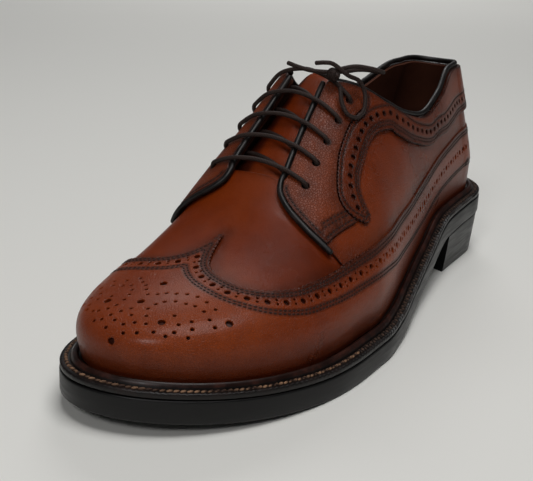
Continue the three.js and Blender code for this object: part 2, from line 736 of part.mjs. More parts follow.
const group = new THREE.Group();
const shoe = new THREE.Group();
const halfLateral = plan[1](TOE_CENTRE);
const halfMedial = plan[-1](TOE_CENTRE);
shoe.position.set(-LENGTH / 2, (halfMedial - halfLateral) / 2, 0);
group.add(shoe);

const finishes = {
  calf: { color: 0x6e3018, roughness: 0.42, metalness: 0 },
  grained: { color: 0x70351f, roughness: 0.5, metalness: 0 },
  edge: { color: 0x17110f, roughness: 0.55, metalness: 0 },
  sole: { color: 0x1b1b1d, roughness: 0.38, metalness: 0 },
  weltLeather: { color: 0x22130d, roughness: 0.5, metalness: 0 },
  insoleLeather: { color: 0x8a6a4c, roughness: 0.7, metalness: 0 },
  laceCotton: { color: 0x2e1d17, roughness: 0.75, metalness: 0 },
};
function add(name, geometry, finish) {
  const mesh = new THREE.Mesh(geometry, new THREE.MeshStandardMaterial(finishes[finish]));
  mesh.name = name;
  shoe.add(mesh);
}

// Outsole
const soleTop = (x) => underside(clamp(x, 0, LENGTH)) + SOLE_THICKNESS;
add('outsole', plate([
  { inset: EDGE_ROUND, height: (x) => underside(clamp(x, 0, LENGTH)) },
  { inset: 0, height: (x) => underside(clamp(x, 0, LENGTH)) + EDGE_ROUND },
  { inset: 0, height: (x) => soleTop(x) - EDGE_ROUND * 0.6 },
  { inset: EDGE_ROUND * 0.6, height: soleTop },
]), 'sole');

// Heel: the outline's back end, closed by a hollow breast
const HEEL_ROWS = 9;
const HEEL_ACROSS = 6;
function heelBlock() {
  const points = [];
  const triangles = [];
  const layer = (drop, inset) => {
    const ids = [];
    for (let i = 0; i <= HEEL_ROWS; i++) {
      const share = i / HEEL_ROWS;
      const station = mix(0, HEEL_LENGTH, share * share * (1.5 - 0.5 * share));
      const back = station < HEEL_CENTRE;
      const turn = Math.acos(clamp((station - HEEL_CENTRE) / HEEL_CENTRE, -1, 0));
      const ribs = [1, -1].map((side) => (back ? rib('heel', turn, side) : rib('side', station, side)));
      const ends = ribs.map((r) => place(r, r.reach - inset, 0));
      const row = [];
      for (let j = 0; j <= HEEL_ACROSS; j++) {
        const p = ends[0].clone().lerp(ends[1], j / HEEL_ACROSS);
        const middle = 1 - (2 * j / HEEL_ACROSS - 1) ** 2;
        p.x -= HEEL_HOLLOW * middle * smooth(station, HEEL_LENGTH * 0.6, HEEL_LENGTH);
        p.z = drop ? underside(p.x) - GAP : 0;
        points.push(p);
        row.push(points.length - 1);
      }
      ids.push(row);
    }
    return ids;
  };
  const low = layer(0, HEEL_TAPER + EDGE_ROUND * 0.5);
  const high = layer(1, EDGE_ROUND * 0.5);
  const cap = (ids) => {
    for (let i = 0; i < HEEL_ROWS; i++) {
      for (let j = 0; j < HEEL_ACROSS; j++) {
        triangles.push([ids[i][j], ids[i + 1][j], ids[i + 1][j + 1]]);
        triangles.push([ids[i][j], ids[i + 1][j + 1], ids[i][j + 1]]);
      }
    }
  };
  cap(low);
  const start = triangles.length;
  cap(high);
  for (let k = start; k < triangles.length; k++) {
    triangles[k].reverse();
  }
  const loop = (ids) => [
    ...ids.map((row) => row[0]),
    ...ids[HEEL_ROWS].slice(1),
    ...ids.slice(0, HEEL_ROWS).reverse().map((row) => row[HEEL_ACROSS]),
    ...ids[0].slice(1, -1).reverse(),
  ];
  const a = loop(low);
  const b = loop(high);
  for (let i = 0; i < a.length; i++) {
    const j = (i + 1) % a.length;
    triangles.push([a[i], b[j], a[j]], [a[i], b[i], b[j]]);
  }
  return weld(points, triangles);
}
add('heel', heelBlock(), 'sole');

// Storm welt: a flat rim with a raised bead that hugs the upper
const weltLow = SOLE_THICKNESS + GAP;
const weltTop = weltLow + WELT_THICKNESS;
function beadInset(r) {
  const up = clamp(BEAD_HEIGHT / r.belly, 0, 1);
  const out = r.bulge * Math.sin((up * Math.PI) / 2) ** TUCK;
  return WELT_WIDTH - out - layerTop - wingStep(r) - BEAD_GAP;
}
add('storm_welt', ring((r) => {
  const inner = beadInset(r);
  const outer = inner - BEAD_WIDTH;
  const middle = (inner + outer) / 2;
  return [
    [EDGE_ROUND * 0.6, weltLow],
    [EDGE_ROUND * 0.2, weltTop - WELT_CHAMFER],
    [EDGE_ROUND * 0.8, weltTop],
    [outer, weltTop],
    [outer + WELT_CHAMFER, weltTop + BEAD_HEIGHT * 0.75],
    [middle, weltTop + BEAD_HEIGHT],
    [inner, weltTop + BEAD_HEIGHT * 0.7],
    [inner, weltTop],
    [WELT_WIDTH + WELT_UNDERLAP, weltTop],
    [WELT_WIDTH + WELT_UNDERLAP, weltLow],
  ];
}), 'weltLeather');

// Insole: it rests on the welt all round and steps down to the outsole inside it
const insoleInset = WELT_WIDTH - baseInner + INSOLE_GAP;
const overSole = (rise) => (x) => underside(clamp(x, 0, LENGTH)) + rise;
add('insole', plate([
  { inset: WELT_WIDTH + WELT_UNDERLAP + GAP, height: overSole(SOLE_THICKNESS + GAP) },
  { inset: WELT_WIDTH + WELT_UNDERLAP + GAP, height: overSole(weltTop + GAP) },
  { inset: insoleInset, height: overSole(weltTop + GAP) },
  { inset: insoleInset, height: overSole(weltTop + GAP + INSOLE_THICKNESS) },
]), 'insoleLeather');

// Upper: vamp and quarters as one hollow leather shell, open at collar and throat and underneath
const flat = (value) => () => value;
const shellGrids = [];
for (const side of [1, -1]) {
  const all = [...heelRibs(side), ...sideRibs(side), ...toeRibs(side)];
  shellGrids.push(band(all, 0, FEATHER_ROW, flat(baseInner), flat(baseOuter)));
  const front = [...sideRibs(side).filter((r) => r.key >= THROAT), ...toeRibs(side)];
  shellGrids.push(crown(front, (r) => rowsOf(r)[0], 3, flat(baseInner), flat(baseOuter)));
}
add('upper', leather(shellGrids), 'calf');

// Long wing: toe cap and side wings in one, its ends meeting at the back
const SEAM = GAP / 2 / (HEEL_CENTRE - WELT_WIDTH);
const wingGrids = [1, -1].map((side) => {
  const ribs = [...heelRibs(side, SEAM), ...sideRibs(side), ...toeRibs(side)];
  return band(ribs, WING_ROW, FEATHER_ROW, flat(layerLow), (r) => layerTop + wingStep(r));
});
add('long_wing', leather(wingGrids), 'calf');

for (const side of [1, -1]) {
  const word = side > 0 ? 'lateral' : 'medial';
  const ribs = [...heelRibs(side, SEAM), ...sideRibs(side)];
  // Quarter, down to the wing's edge
  const quarter = band(ribs, 0, WING_ROW, flat(layerLow), flat(layerTop), GAP);
  add(`quarter_${word}`, leather([quarter]), 'calf');
  // Facing and collar overlay on the quarter
  const facing = band(ribs, 0, FACING_ROWS, flat(facingLowFace), flat(facingTopFace));
  add(`facing_${word}`, leather([facing]), 'grained');
}

// Tongue: under the vamp at its root, lower under the facings
const tongueDrop = (r) => mix(TONGUE_DROP, 0, smooth(r.key, THROAT - RISE_BEFORE, THROAT + RISE_AFTER));
const tongueTop = (r) => baseInner - TONGUE_GAP - tongueDrop(r);
const tongueNarrow = (r) => TONGUE_NARROWING * smooth(r.key, THROAT - TONGUE_RAMP, TONGUE_ROOT);
const tongueEdge = (r) => TONGUE_HALF * (1 - tongueNarrow(r));
const TONGUE_COLUMNS = 9;
const tongueGrids = [1, -1].map((side) => {
  const ribs = [];
  for (let i = 0; i <= TONGUE_COLUMNS; i++) {
    ribs.push(measured('side', mix(TONGUE_TOP, TONGUE_ROOT, i / TONGUE_COLUMNS), side));
  }
  return crown(ribs, tongueEdge, 4, (r) => tongueTop(r) - TONGUE_THICKNESS, tongueTop);
});
add('tongue', leather(tongueGrids), 'calf');

// Rolled binding round the collar, from facing top to facing top
const bindingPath = [];
for (const side of [1, -1]) {
  const ribs = [...heelRibs(side), ...sideRibs(side).filter((r) => r.key <= FACING_TOP - BINDING_END)];
  const points = ribs.map((r) => {
    const edge = spot(r, openEdge(r), 0, 0);
    const down = spot(r, openEdge(r) + 2, 0, 0).point.sub(edge.point).normalize();
    const middle = (facingTopFace + baseInner) / 2;
    return edge.point.addScaledVector(edge.normal, middle).addScaledVector(down, -(BINDING + BINDING_GAP));
  });
  bindingPath.push(side > 0 ? points.reverse() : points.slice(1));
}
add('collar_binding', tube(along(bindingPath.flat()), BINDING, 36, 6), 'edge');

// Piped edge of each quarter: down the facing, round the throat's corner and down the front edge
for (const side of [1, -1]) {
  const word = side > 0 ? 'lateral' : 'medial';
  const lift = PIPING - PIPING_SINK;
  const facingRibs = [FACING_TOP + PIPING_START, mix(FACING_TOP, THROAT, 0.5), THROAT - PIPING_TURN]
    .map((x) => offsetPoint(measured('side', x, side), facingHalf(x) - PIPING - GAP * 1.5, lift));
  const frontRibs = PIPED_FRONT.map(({ at, down }) => {
    const r = measured('side', mix(THROAT, QUARTER_FRONT, at), side);
    return offsetPoint(r, downFacing(down), lift);
  });
  add(`edge_piping_${word}`, tube(along([...facingRibs, ...frontRibs]), PIPING, 18, 6), 'edge');
}

// Lace bars across the facings, one to each pair of eyelets
const barLift = facingTopFace + GAP + LACE / 2;
for (let i = 0; i < EYELET_PAIRS; i++) {
  const x = FIRST_EYELET - i * EYELET_STEP;
  const points = [];
  for (const share of [-1, -0.86, -0.5, 0, 0.5, 0.86, 1]) {
    const side = share < 0 ? -1 : 1;
    const lift = barLift + (Math.abs(share) < 0.8 ? BAR_ARCH : 0);
    points.push(offsetPoint(measured('side', x, side), Math.abs(share) * EYELET_ROW, lift));
  }
  add(`lace_bar_${i + 1}`, tube(along(points), LACE / 2, 8), 'laceCotton');
}

// Under-strands, each from the inner side of one pair to the outer side of the pair before it
const underLevel = baseInner - STRAND_GAP - LACE / 2;
for (let i = 0; i + 1 < EYELET_PAIRS; i++) {
  const start = FIRST_EYELET - i * EYELET_STEP;
  const points = [-1, -0.5, 0, 0.5, 1].map((share) => {
    const x = mix(start - EYELET_STEP * 0.85, start - EYELET_STEP * 0.15, (share + 1) / 2);
    const half = facingHalf(x) + LACE;
    return offsetPoint(measured('side', x, share < 0 ? -1 : 1), Math.abs(share) * half, underLevel);
  });
  add(`lace_under_${i + 1}`, tube(along(points), LACE / 2, 4), 'laceCotton');
}

// The tied bow over the top bar: a knot, two loops and two ends. A row is a step from the knot's middle,
// or, for the loop that lies on the facing, a station from the top eyelets, a girth and a lift.
const topEyelet = FIRST_EYELET - (EYELET_PAIRS - 1) * EYELET_STEP;
const knotLift = barLift + LACE / 2 + BAR_ARCH + KNOT_GAP + KNOT_RADIUS;
const knotMiddle = offsetPoint(measured('side', topEyelet, 1), KNOT_ROW, knotLift);
const route = (steps) => along(steps.map((step) => knotMiddle.clone().add(new THREE.Vector3(...step))));
const KNOT_STEPS = [
  [-1.4, -2.2, 0.2],
  [0, 0, 0.5],
  [1.2, 2.2, -0.3],
];
add('lace_knot', tube(route(KNOT_STEPS), KNOT_RADIUS, 3), 'laceCotton');
const LYING_LOOP = [
  { ahead: 2.4, girth: 17.8, lift: 2.8 },
  { ahead: 5.4, girth: 21.2, lift: 1.2 },
  { ahead: 6.8, girth: 26.0, lift: 0.4 },
  { ahead: 4.2, girth: 30.6, lift: 0.4 },
  { ahead: -1.6, girth: 31.8, lift: 0.7 },
  { ahead: -6.2, girth: 28.0, lift: 2.0 },
  { ahead: -6.4, girth: 22.4, lift: 4.0 },
  { ahead: -2.4, girth: 17.4, lift: 6.4 },
];
const lying = LYING_LOOP.map(({ ahead, girth, lift }) => (
  offsetPoint(measured('side', topEyelet + ahead, 1), girth, barLift + lift)
));
add('lace_loop_outer', tube(along(lying), LACE / 2, 16), 'laceCotton');
const FREE_LACES = {
  lace_loop_rear: [[-3.3, 0.6, 1.9], [-8.8, 5.9, 3.3], [-14.6, 11.2, 2.4], [-20.4, 14.4, 0.6], [-25, 11.4, -0.4],
    [-23.6, 5.2, 0], [-17.4, 2.6, 0.4], [-11, 0.8, 0.2], [-5.6, -1.6, 0.2]],
  lace_end_inner: [[-0.8, -4.3, 0.4], [4, -9.4, 0.9], [8, -14, 2.4], [11, -17.5, 4]],
  lace_end_outer: [[0.9, 0.2, 4.5], [3.6, -3, 5.2], [6, -6, 4.9]],
};
for (const [name, steps] of Object.entries(FREE_LACES)) {
  add(name, tube(route(steps), LACE / 2, steps.length * 2), 'laceCotton');
}

export default group;
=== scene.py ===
# %% [markdown]
# # A longwing brogue
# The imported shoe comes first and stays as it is: every new piece is laid on the same last, in the same place,
# and stands for the plain solid under it.

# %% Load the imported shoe
import math
import bpy
import numpy as np
from mathutils import Vector, Matrix
from mathutils.geometry import delaunay_2d_cdt


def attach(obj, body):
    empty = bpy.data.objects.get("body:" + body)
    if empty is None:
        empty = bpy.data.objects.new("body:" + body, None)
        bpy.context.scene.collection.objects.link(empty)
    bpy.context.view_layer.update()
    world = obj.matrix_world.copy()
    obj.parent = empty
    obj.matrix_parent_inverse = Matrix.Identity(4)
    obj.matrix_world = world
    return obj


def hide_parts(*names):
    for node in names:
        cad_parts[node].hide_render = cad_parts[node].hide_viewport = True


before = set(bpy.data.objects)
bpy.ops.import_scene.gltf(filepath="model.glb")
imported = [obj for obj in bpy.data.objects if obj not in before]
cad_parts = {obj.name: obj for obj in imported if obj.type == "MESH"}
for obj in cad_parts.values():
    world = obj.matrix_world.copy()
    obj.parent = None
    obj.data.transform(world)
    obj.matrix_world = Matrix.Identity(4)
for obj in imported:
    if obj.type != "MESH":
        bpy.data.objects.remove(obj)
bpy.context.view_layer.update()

# %% [markdown]
# ## The last
# Every part of a shoe is shaped over a last. Here the last is one surface, written as a function, so the
# sole, the leathers and each stitch can ask it where they lie. Sizes are in millimetres, with the back of
# the sole at x = 0, and are divided by a thousand when a mesh is made.

# %% Sizes and sections of the last
LENGTH, BALL_WIDTH = 306.0, 108.5
HEEL_CENTRE, TOE_CENTRE, TOE_SWING = 38.0, 210.0, 8.0
HEEL_HEIGHT, TOE_SPRING, SOLE_THICKNESS = 24.5, 6.5, 9.6
WELT_THICKNESS, WELT_WIDTH, WELT_UNDERLAP = 2.6, 9.0, 7.0
BEAD_WIDTH, BEAD_HEIGHT, BEAD_GAP = 3.3, 2.4, 0.65
HEEL_LENGTH, HEEL_HOLLOW, EDGE_ROUND = 72.0, 6.0, 1.1
INSTEP_HEIGHT, COLLAR_HEIGHT = 111.0, 103.0
WALL, OVERLAY, COVER, GAP = 2.0, 1.1, 1.2, 0.35
THROAT, FACING_TOP, QUARTER_FRONT, COLLAR_FRONT = 196.0, 151.0, 207.0, 131.0
THROAT_HALF, FACING_TOP_HALF = 15.0, 10.3
LACE, EYELET_ROW, EYELET_PAIRS, FIRST_EYELET, EYELET_STEP = 2.0, 24.0, 5, 194.5, 10.9
PIPING, BINDING, BINDING_GAP = 1.1, 1.25, 0.75
TONGUE_THICKNESS, TONGUE_DROP, TONGUE_GAP = 2.6, 3.2, 1.1
TONGUE_TOP, TONGUE_ROOT, TONGUE_HALF = 143.0, 204.0, 24.0
TOE_ROUNDNESS, HEEL_ROUNDNESS, TUCK, WALL_SHARE = 2.05, 2.2, 1.25, 0.22
TOE_LENGTH = LENGTH - TOE_CENTRE

# station as a share of the length, half widths as shares of the ball width
PLAN = np.array([[.124, .327, .332], [.245, .341, .323], [.359, .387, .300], [.458, .442, .304],
                 [.556, .507, .350], [.627, .535, .419], [.686, .535, .465], [.699, .535, .465]])
# height of the underside, as shares of the heel's height and of the toe spring
UNDERSIDE = np.array([[0, 1, 0], [.235, .878, 0], [.359, .429, 0], [.490, .106, 0],
                      [.647, 0, 0], [.752, 0, 0], [.850, 0, .246], [1, 0, 1]])
# station, ridge, shift, belly, then bulge, wall and crown of the outer and of the inner side
LAST = np.array([
    [.124, 1.306, .000, .162, .004, .02, .32, .006, .02, .34],
    [.245, 1.315, -.028, .162, .009, .24, .54, .028, .24, .54],
    [.359, 1.252, -.065, .162, .009, .27, .48, .060, .36, .64],
    [.425, 1.126, -.088, .162, .009, .36, .56, .069, .48, .78],
    [.490, 1.000, -.100, .153, .009, .40, .58, .065, .56, .86],
    [.556, .851, -.097, .144, .014, .42, .56, .051, .58, .86],
    [.621, .716, -.083, .135, .018, .42, .52, .037, .58, .82],
    [.686, .577, -.046, .126, .018, .42, .50, .028, .56, .76]])
TOE_SECTION = dict(bulge=.018, belly=.099, wall=.54, crown=.45)
HEEL_SECTION = dict(bulge=.017, belly=.162, wall=.06, crown=.36)
# station, topline and wing edge as shares of the collar's height
COLLAR = np.array([[0, 1, .699], [.065, 1.019, .697], [.147, 1.010, .684], [.229, .917, .647],
                   [.310, .845, .583], [.376, .883, .534], [.425, .951, .507], [.516, 1.050, .476],
                   [.595, 1.100, .456], [.686, 1.150, .425]])


def curve(xs, ys):
    """A smooth curve through points that never swings past them: a cubic in each gap, whose slope at a point
    is the weighted harmonic mean of the chords beside it, and zero where they turn."""
    xs, ys = np.asarray(xs, float), np.asarray(ys, float)
    gap, chord = np.diff(xs), np.diff(ys) / np.diff(xs)
    weight = (gap[:-1] + 2 * gap[1:]) / (3 * (gap[:-1] + gap[1:]))
    with np.errstate(divide="ignore", invalid="ignore"):
        inner = 1 / (weight / chord[:-1] + (1 - weight) / chord[1:])
    inner = np.where(chord[:-1] * chord[1:] <= 0, 0, inner)
    slope = np.concatenate([chord[:1], inner, chord[-1:]])

    def at(x):
        x = np.clip(x, xs[0], xs[-1])
        i = np.clip(np.searchsorted(xs, x, side="right") - 1, 0, len(xs) - 2)
        t = (x - xs[i]) / gap[i]
        rise, start, end = ys[i + 1] - ys[i], slope[i] * gap[i], slope[i + 1] * gap[i]
        return ys[i] + t * (start + t * (3 * rise - 2 * start - end + t * (start + end - 2 * rise)))
    return at


def table_curve(table, column, scale):
    return curve(table[:, 0] * LENGTH, table[:, column] * scale)


plan = [table_curve(PLAN, 1, BALL_WIDTH), table_curve(PLAN, 2, BALL_WIDTH)]
under_heel, under_toe = table_curve(UNDERSIDE, 1, HEEL_HEIGHT), table_curve(UNDERSIDE, 2, TOE_SPRING)
ridge, shift = table_curve(LAST, 1, INSTEP_HEIGHT), table_curve(LAST, 2, BALL_WIDTH)
belly = table_curve(LAST, 3, INSTEP_HEIGHT)
bulges = [table_curve(LAST, 4, BALL_WIDTH), table_curve(LAST, 7, BALL_WIDTH)]
walls = [table_curve(LAST, 5, 1), table_curve(LAST, 8, 1)]
crowns = [table_curve(LAST, 6, 1), table_curve(LAST, 9, 1)]
topline, wing_height = table_curve(COLLAR, 1, COLLAR_HEIGHT), table_curve(COLLAR, 2, COLLAR_HEIGHT)
ridge_slope = (ridge(TOE_CENTRE - 2) - ridge(TOE_CENTRE)) / 2
feather_rise = SOLE_THICKNESS + GAP + WELT_THICKNESS + GAP
shoe_shift = np.array([-LENGTH / 2, (plan[1](TOE_CENTRE) - plan[0](TOE_CENTRE)) / 2, 0])


def underside(x):
    return under_heel(np.clip(x, 0, LENGTH)) + under_toe(np.clip(x, 0, LENGTH))


def smooth(x, low, high):
    """3t^2 - 2t^3 of how far x has come from low to high."""
    t = np.clip((x - low) / (high - low), 0, 1)
    return t * t * (3 - 2 * t)


def mix(a, b, t):
    return a + (b - a) * t


def from_heel(v):
    """Distance of a walk from the back seam, the same on both sides."""
    return np.where(v <= LENGTH, v, 2 * LENGTH - v)


class Ribs:
    """Ribs of the last, named by their walk v: 0 at the back seam, LENGTH at the tip of the toe, and on
    along the inner side to 2 LENGTH at the seam again. A rib stands on the sole's outline, which is straight
    ahead along the sides and a superellipse round the heel and the toe, and runs up to the ridge."""

    def __init__(self, v):
        v = np.asarray(v, float)
        self.side = np.where(v <= LENGTH, 1.0, -1.0)
        w = from_heel(v)
        heel = np.clip((HEEL_CENTRE - w) / HEEL_CENTRE, 0, 1)
        toe = np.clip((w - TOE_CENTRE) / TOE_LENGTH, 0, 1)
        self.angle = np.pi / 2 * (1 + heel - toe)
        self.centre = np.clip(w, HEEL_CENTRE, TOE_CENTRE)
        self.toe = toe > 0
        both = [np.where(self.side > 0, f[0](self.centre), f[1](self.centre))
                for f in (plan, bulges, walls, crowns)]
        width, bulge, wall, crown = both
        depth = np.where(toe > 0, TOE_LENGTH, HEEL_CENTRE)
        power = np.where(toe > 0, TOE_ROUNDNESS, HEEL_ROUNDNESS)
        fan = ((np.abs(np.cos(self.angle)) / depth) ** power
               + (np.abs(np.sin(self.angle)) / width) ** power) ** (-1 / power)
        self.reach = np.where((toe > 0) | (heel > 0), fan, width)
        turn = np.where((toe > 0) | (heel > 0), np.cos(self.angle) ** 2, 0)
        end = {k: np.where(toe > 0, TOE_SECTION[k], HEEL_SECTION[k]) for k in TOE_SECTION}
        self.bulge = mix(bulge, end["bulge"] * BALL_WIDTH, turn)
        self.belly = mix(belly(self.centre), end["belly"] * INSTEP_HEIGHT, turn)
        self.wall = mix(wall, end["wall"], turn)
        self.crown = mix(crown, end["crown"], turn)
        self.top = ridge(self.centre)
        self.slope = np.where(toe > 0, ridge_slope * np.cos(self.angle), 0)

    def place(self, distance, lean=0.0):
        """x and y at a distance out from the rib's centre line, leaning with the ridge."""
        x = self.centre + distance * np.cos(self.angle)
        fade = np.where(self.toe, np.clip(1 - (x - TOE_CENTRE) / TOE_LENGTH, 0, 1), 1)
        swing = -TOE_SWING * np.clip((x - TOE_CENTRE) / TOE_LENGTH, 0, None) ** 2
        return x, self.side * distance * np.sin(self.angle) + swing + lean * shift(self.centre) * fade

    def station(self, inset):
        return np.clip(self.centre + (self.reach - inset) * np.cos(self.angle), 0, LENGTH)

    def profile(self, t):
        """The rib at t, 0 on the ridge and 1 at the feather edge. Under the belly the wall goes in by
        bulge (1 - sin^1.25); over it a cubic Bezier curve runs from the belly to the ridge."""
        foot = underside(self.station(WELT_WIDTH)) + feather_rise
        inner = self.reach - WELT_WIDTH
        widest, belly_height = inner + self.bulge, foot + self.belly
        up = np.clip((1 - t) / WALL_SHARE, 0, 1)
        low_out = inner + self.bulge * np.sin(up * np.pi / 2) ** TUCK
        low_height = foot + self.belly * up
        v = np.clip(t / (1 - WALL_SHARE), 0, 1)
        u, turn = 1 - v, self.crown * widest
        a, b, c, d = v ** 3, 3 * v * v * u, 3 * v * u * u, u ** 3
        high_out = a * widest + b * widest + c * turn
        high = (a * belly_height + b * (belly_height + self.wall * (self.top - belly_height))
                + c * (self.top - self.slope * turn) + d * self.top)
        below = t > 1 - WALL_SHARE
        rise = np.clip((high - belly_height) / (self.top - belly_height), 0, 1)
        x, y = self.place(np.where(below, low_out, high_out), np.where(below, 0, rise ** 1.2))
        return np.stack(np.broadcast_arrays(x, y, np.where(below, low_height, high)), -1)


# The last measured once: where each rib is at a share of its girth from the ridge
WALKS = np.linspace(0, 2 * LENGTH, 613)
steps = np.linspace(0, 1, 161)
net = Ribs(WALKS[:, None]).profile(steps[None, :])
lengths = np.linalg.norm(np.diff(net, axis=1), axis=2)
girths = np.concatenate([np.zeros((len(WALKS), 1)), np.cumsum(lengths, axis=1)], axis=1)
whole_girth = girths[:, -1]
SHARES = np.linspace(0, 1, 241)
share_net = np.array([np.interp(SHARES * g[-1], g, steps) for g in girths])
print("girth from ridge to feather edge, mm:", whole_girth.min().round(1), "to", whole_girth.max().round(1))


def step_at(v, girth):
    """t on rib v at a girth from the ridge, read off the measured ribs between four neighbours."""
    total = np.interp(v, WALKS, whole_girth)
    s = np.clip(girth / total, 0, 1) * (len(SHARES) - 1)
    r = np.clip(v, 0, 2 * LENGTH) / WALKS[1]
    i, j = np.minimum(r.astype(int), len(WALKS) - 2), np.minimum(s.astype(int), len(SHARES) - 2)
    a, b = r - i, s - j
    return ((1 - a) * (1 - b) * share_net[i, j] + a * (1 - b) * share_net[i + 1, j]
            + (1 - a) * b * share_net[i, j + 1] + a * b * share_net[i + 1, j + 1])


def girth_at_height(heights):
    """Girth at which each measured rib comes down to its height."""
    return np.array([np.interp(-h, -z, g) for h, z, g in zip(heights, net[:, :, 2], girths)])


NUDGE_V, NUDGE_T = 0.4, 0.004


def on_last(v, girth, lift):
    """Points at a walk and a girth, lifted along the last's normal, and those normals. The normal is the
    cross product of the surface's changes along v and along t."""
    v, girth = np.broadcast_arrays(np.asarray(v, float), np.asarray(girth, float))
    t = step_at(v, girth)
    point = Ribs(v).profile(t)
    tc = np.clip(t, NUDGE_T, 1 - NUDGE_T)
    on, back = (Ribs(np.clip(v + nudge, 0, 2 * LENGTH)).profile(tc) for nudge in (NUDGE_V, -NUDGE_V))
    dt = Ribs(v).profile(tc + NUDGE_T) - Ribs(v).profile(tc - NUDGE_T)
    normal = np.cross(on - back, dt)
    normal /= np.linalg.norm(normal, axis=-1, keepdims=True)
    return point + normal * np.asarray(lift, float)[..., None], normal


# %% [markdown]
# A shoemaker cuts flat leather, so the pieces are drawn flat too. The flat pattern unrolls the last about
# its ridge: x runs ahead, y is the girth down each side, and heel and toe open like a fan.

# %% The flat pattern
def to_flat(v, girth):
    """Flat point of a walk and a girth: the centre line plus the girth along the rib's direction."""
    r = Ribs(v)
    return np.stack([r.centre + girth * np.cos(r.angle), r.side * girth * np.sin(r.angle)], -1)


def to_walk(flat):
    """Walk and girth of a flat point."""
    x, y = flat[..., 0], flat[..., 1]
    ahead = np.clip(x - TOE_CENTRE, 0, None) + np.clip(x - HEEL_CENTRE, None, 0)
    turn = np.arctan2(np.abs(y), ahead) / (np.pi / 2)
    w = np.where(ahead > 0, LENGTH - TOE_LENGTH * turn, np.where(ahead < 0, HEEL_CENTRE * (2 - turn), x))
    return np.where(y >= 0, w, 2 * LENGTH - w), np.hypot(ahead, y)


def lay(flat, lift=0.0):
    """Points and normals of flat points on the shoe."""
    v, girth = to_walk(np.asarray(flat, float))
    return on_last(v, girth, lift)


def spaced(path, step, closed=False, laid=False):
    """A path's points at even steps along it. laid measures the steps over the leather, because the flat
    pattern spreads the heel far wider than it is."""
    path = np.asarray(path, float)
    if closed:
        path = np.vstack([path, path[:1]])
    measured = lay(path)[0] if laid else path
    run = np.concatenate([[0], np.cumsum(np.linalg.norm(np.diff(measured, axis=0), axis=1))])
    count = max(2, int(round(run[-1] / step)) + 1)
    at = np.linspace(0, run[-1], count)
    found = np.stack([np.interp(at, run, path[:, k]) for k in range(path.shape[1])], -1)
    return found[:-1] if closed else found


def rounded(path, step):
    """A smooth open path through points: Catmull-Rom cubics, then even steps."""
    p = np.asarray(path, float)
    q = np.vstack([2 * p[:1] - p[1:2], p, 2 * p[-1:] - p[-2:-1]])
    t = np.linspace(0, 1, 24, endpoint=False)[None, :, None]
    a, b, c, d = (q[i:len(q) - 3 + i, None, :] for i in range(4))
    found = 0.5 * (2 * b + (c - a) * t + (2 * a - 5 * b + 4 * c - d) * t ** 2
                   + (3 * b - a - 3 * c + d) * t ** 3)
    return spaced(np.vstack([found.reshape(-1, p.shape[1]), p[-1:]]), step)


def aside(path, distance, closed=False):
    """The path moved to its left by a distance."""
    path = np.asarray(path, float)
    if closed:
        along = np.roll(path, -1, 0) - np.roll(path, 1, 0)
    else:
        along = np.gradient(path, axis=0)
    along /= np.maximum(np.linalg.norm(along, axis=1, keepdims=True), 1e-9)
    left = np.stack([-along[:, 1], along[:, 0]], -1)
    return path + left * np.reshape(distance, (-1, 1) if np.ndim(distance) else (1, 1))


def stretch(flat, h):
    """How the shoe's surface changes along the pattern's two axes, from points h to either side."""
    return [(lay(flat + move)[0] - lay(flat - move)[0]) / (2 * h) for move in h * np.eye(2)]


def over(path, distance):
    """The closed path moved to its left by a true distance over the leather: in short moves, each one square
    to the path as it lies on the shoe."""
    path, moves = np.array(path, float), 8
    for _ in range(moves):
        point, normal = lay(path)
        left = np.cross(normal, np.roll(point, -1, 0) - np.roll(point, 1, 0))
        left /= np.linalg.norm(left, axis=1, keepdims=True)
        ahead, down = stretch(path, 0.4)
        aa, ad, dd = (ahead * ahead).sum(1), (ahead * down).sum(1), (down * down).sum(1)
        la, ld = (left * ahead).sum(1), (left * down).sum(1)
        share = aa * dd - ad * ad
        move = np.stack([la * dd - ld * ad, ld * aa - la * ad], -1) / share[:, None]
        path += move * distance[:, None] / moves
    return path


def eased(path, rounds):
    """Each inner point moved halfway to the middle of its neighbours, a number of times."""
    path = np.array(path, float)
    for _ in range(rounds):
        path[1:-1] += 0.5 * (0.5 * (path[:-2] + path[2:]) - path[1:-1])
    return path


# %% The edges that cut the leathers
walk_ribs = Ribs(WALKS)
station = np.where(walk_ribs.angle > np.pi / 2, walk_ribs.station(WELT_WIDTH), walk_ribs.centre)

# topline and facing edge: the upper's opening
opening = girth_at_height(topline(station))


def at_both_sides(values, walk):
    """A girth given on the measured walks, taken at one walk: the outer side's, then the inner side's."""
    return np.where(walk_ribs.side > 0, np.interp(walk, WALKS, values),
                    np.interp(2 * LENGTH - walk, WALKS, values))


def facing_half(x):
    """Half of the gap between the facings at a station."""
    return mix(FACING_TOP_HALF, THROAT_HALF, np.clip((x - FACING_TOP) / (THROAT - FACING_TOP), 0, 1))


rising = mix(at_both_sides(opening, COLLAR_FRONT), FACING_TOP_HALF,
             (station - COLLAR_FRONT) / (FACING_TOP - COLLAR_FRONT))
opening = np.where(station <= COLLAR_FRONT, opening,
                   np.where(station < FACING_TOP, rising, facing_half(station)))

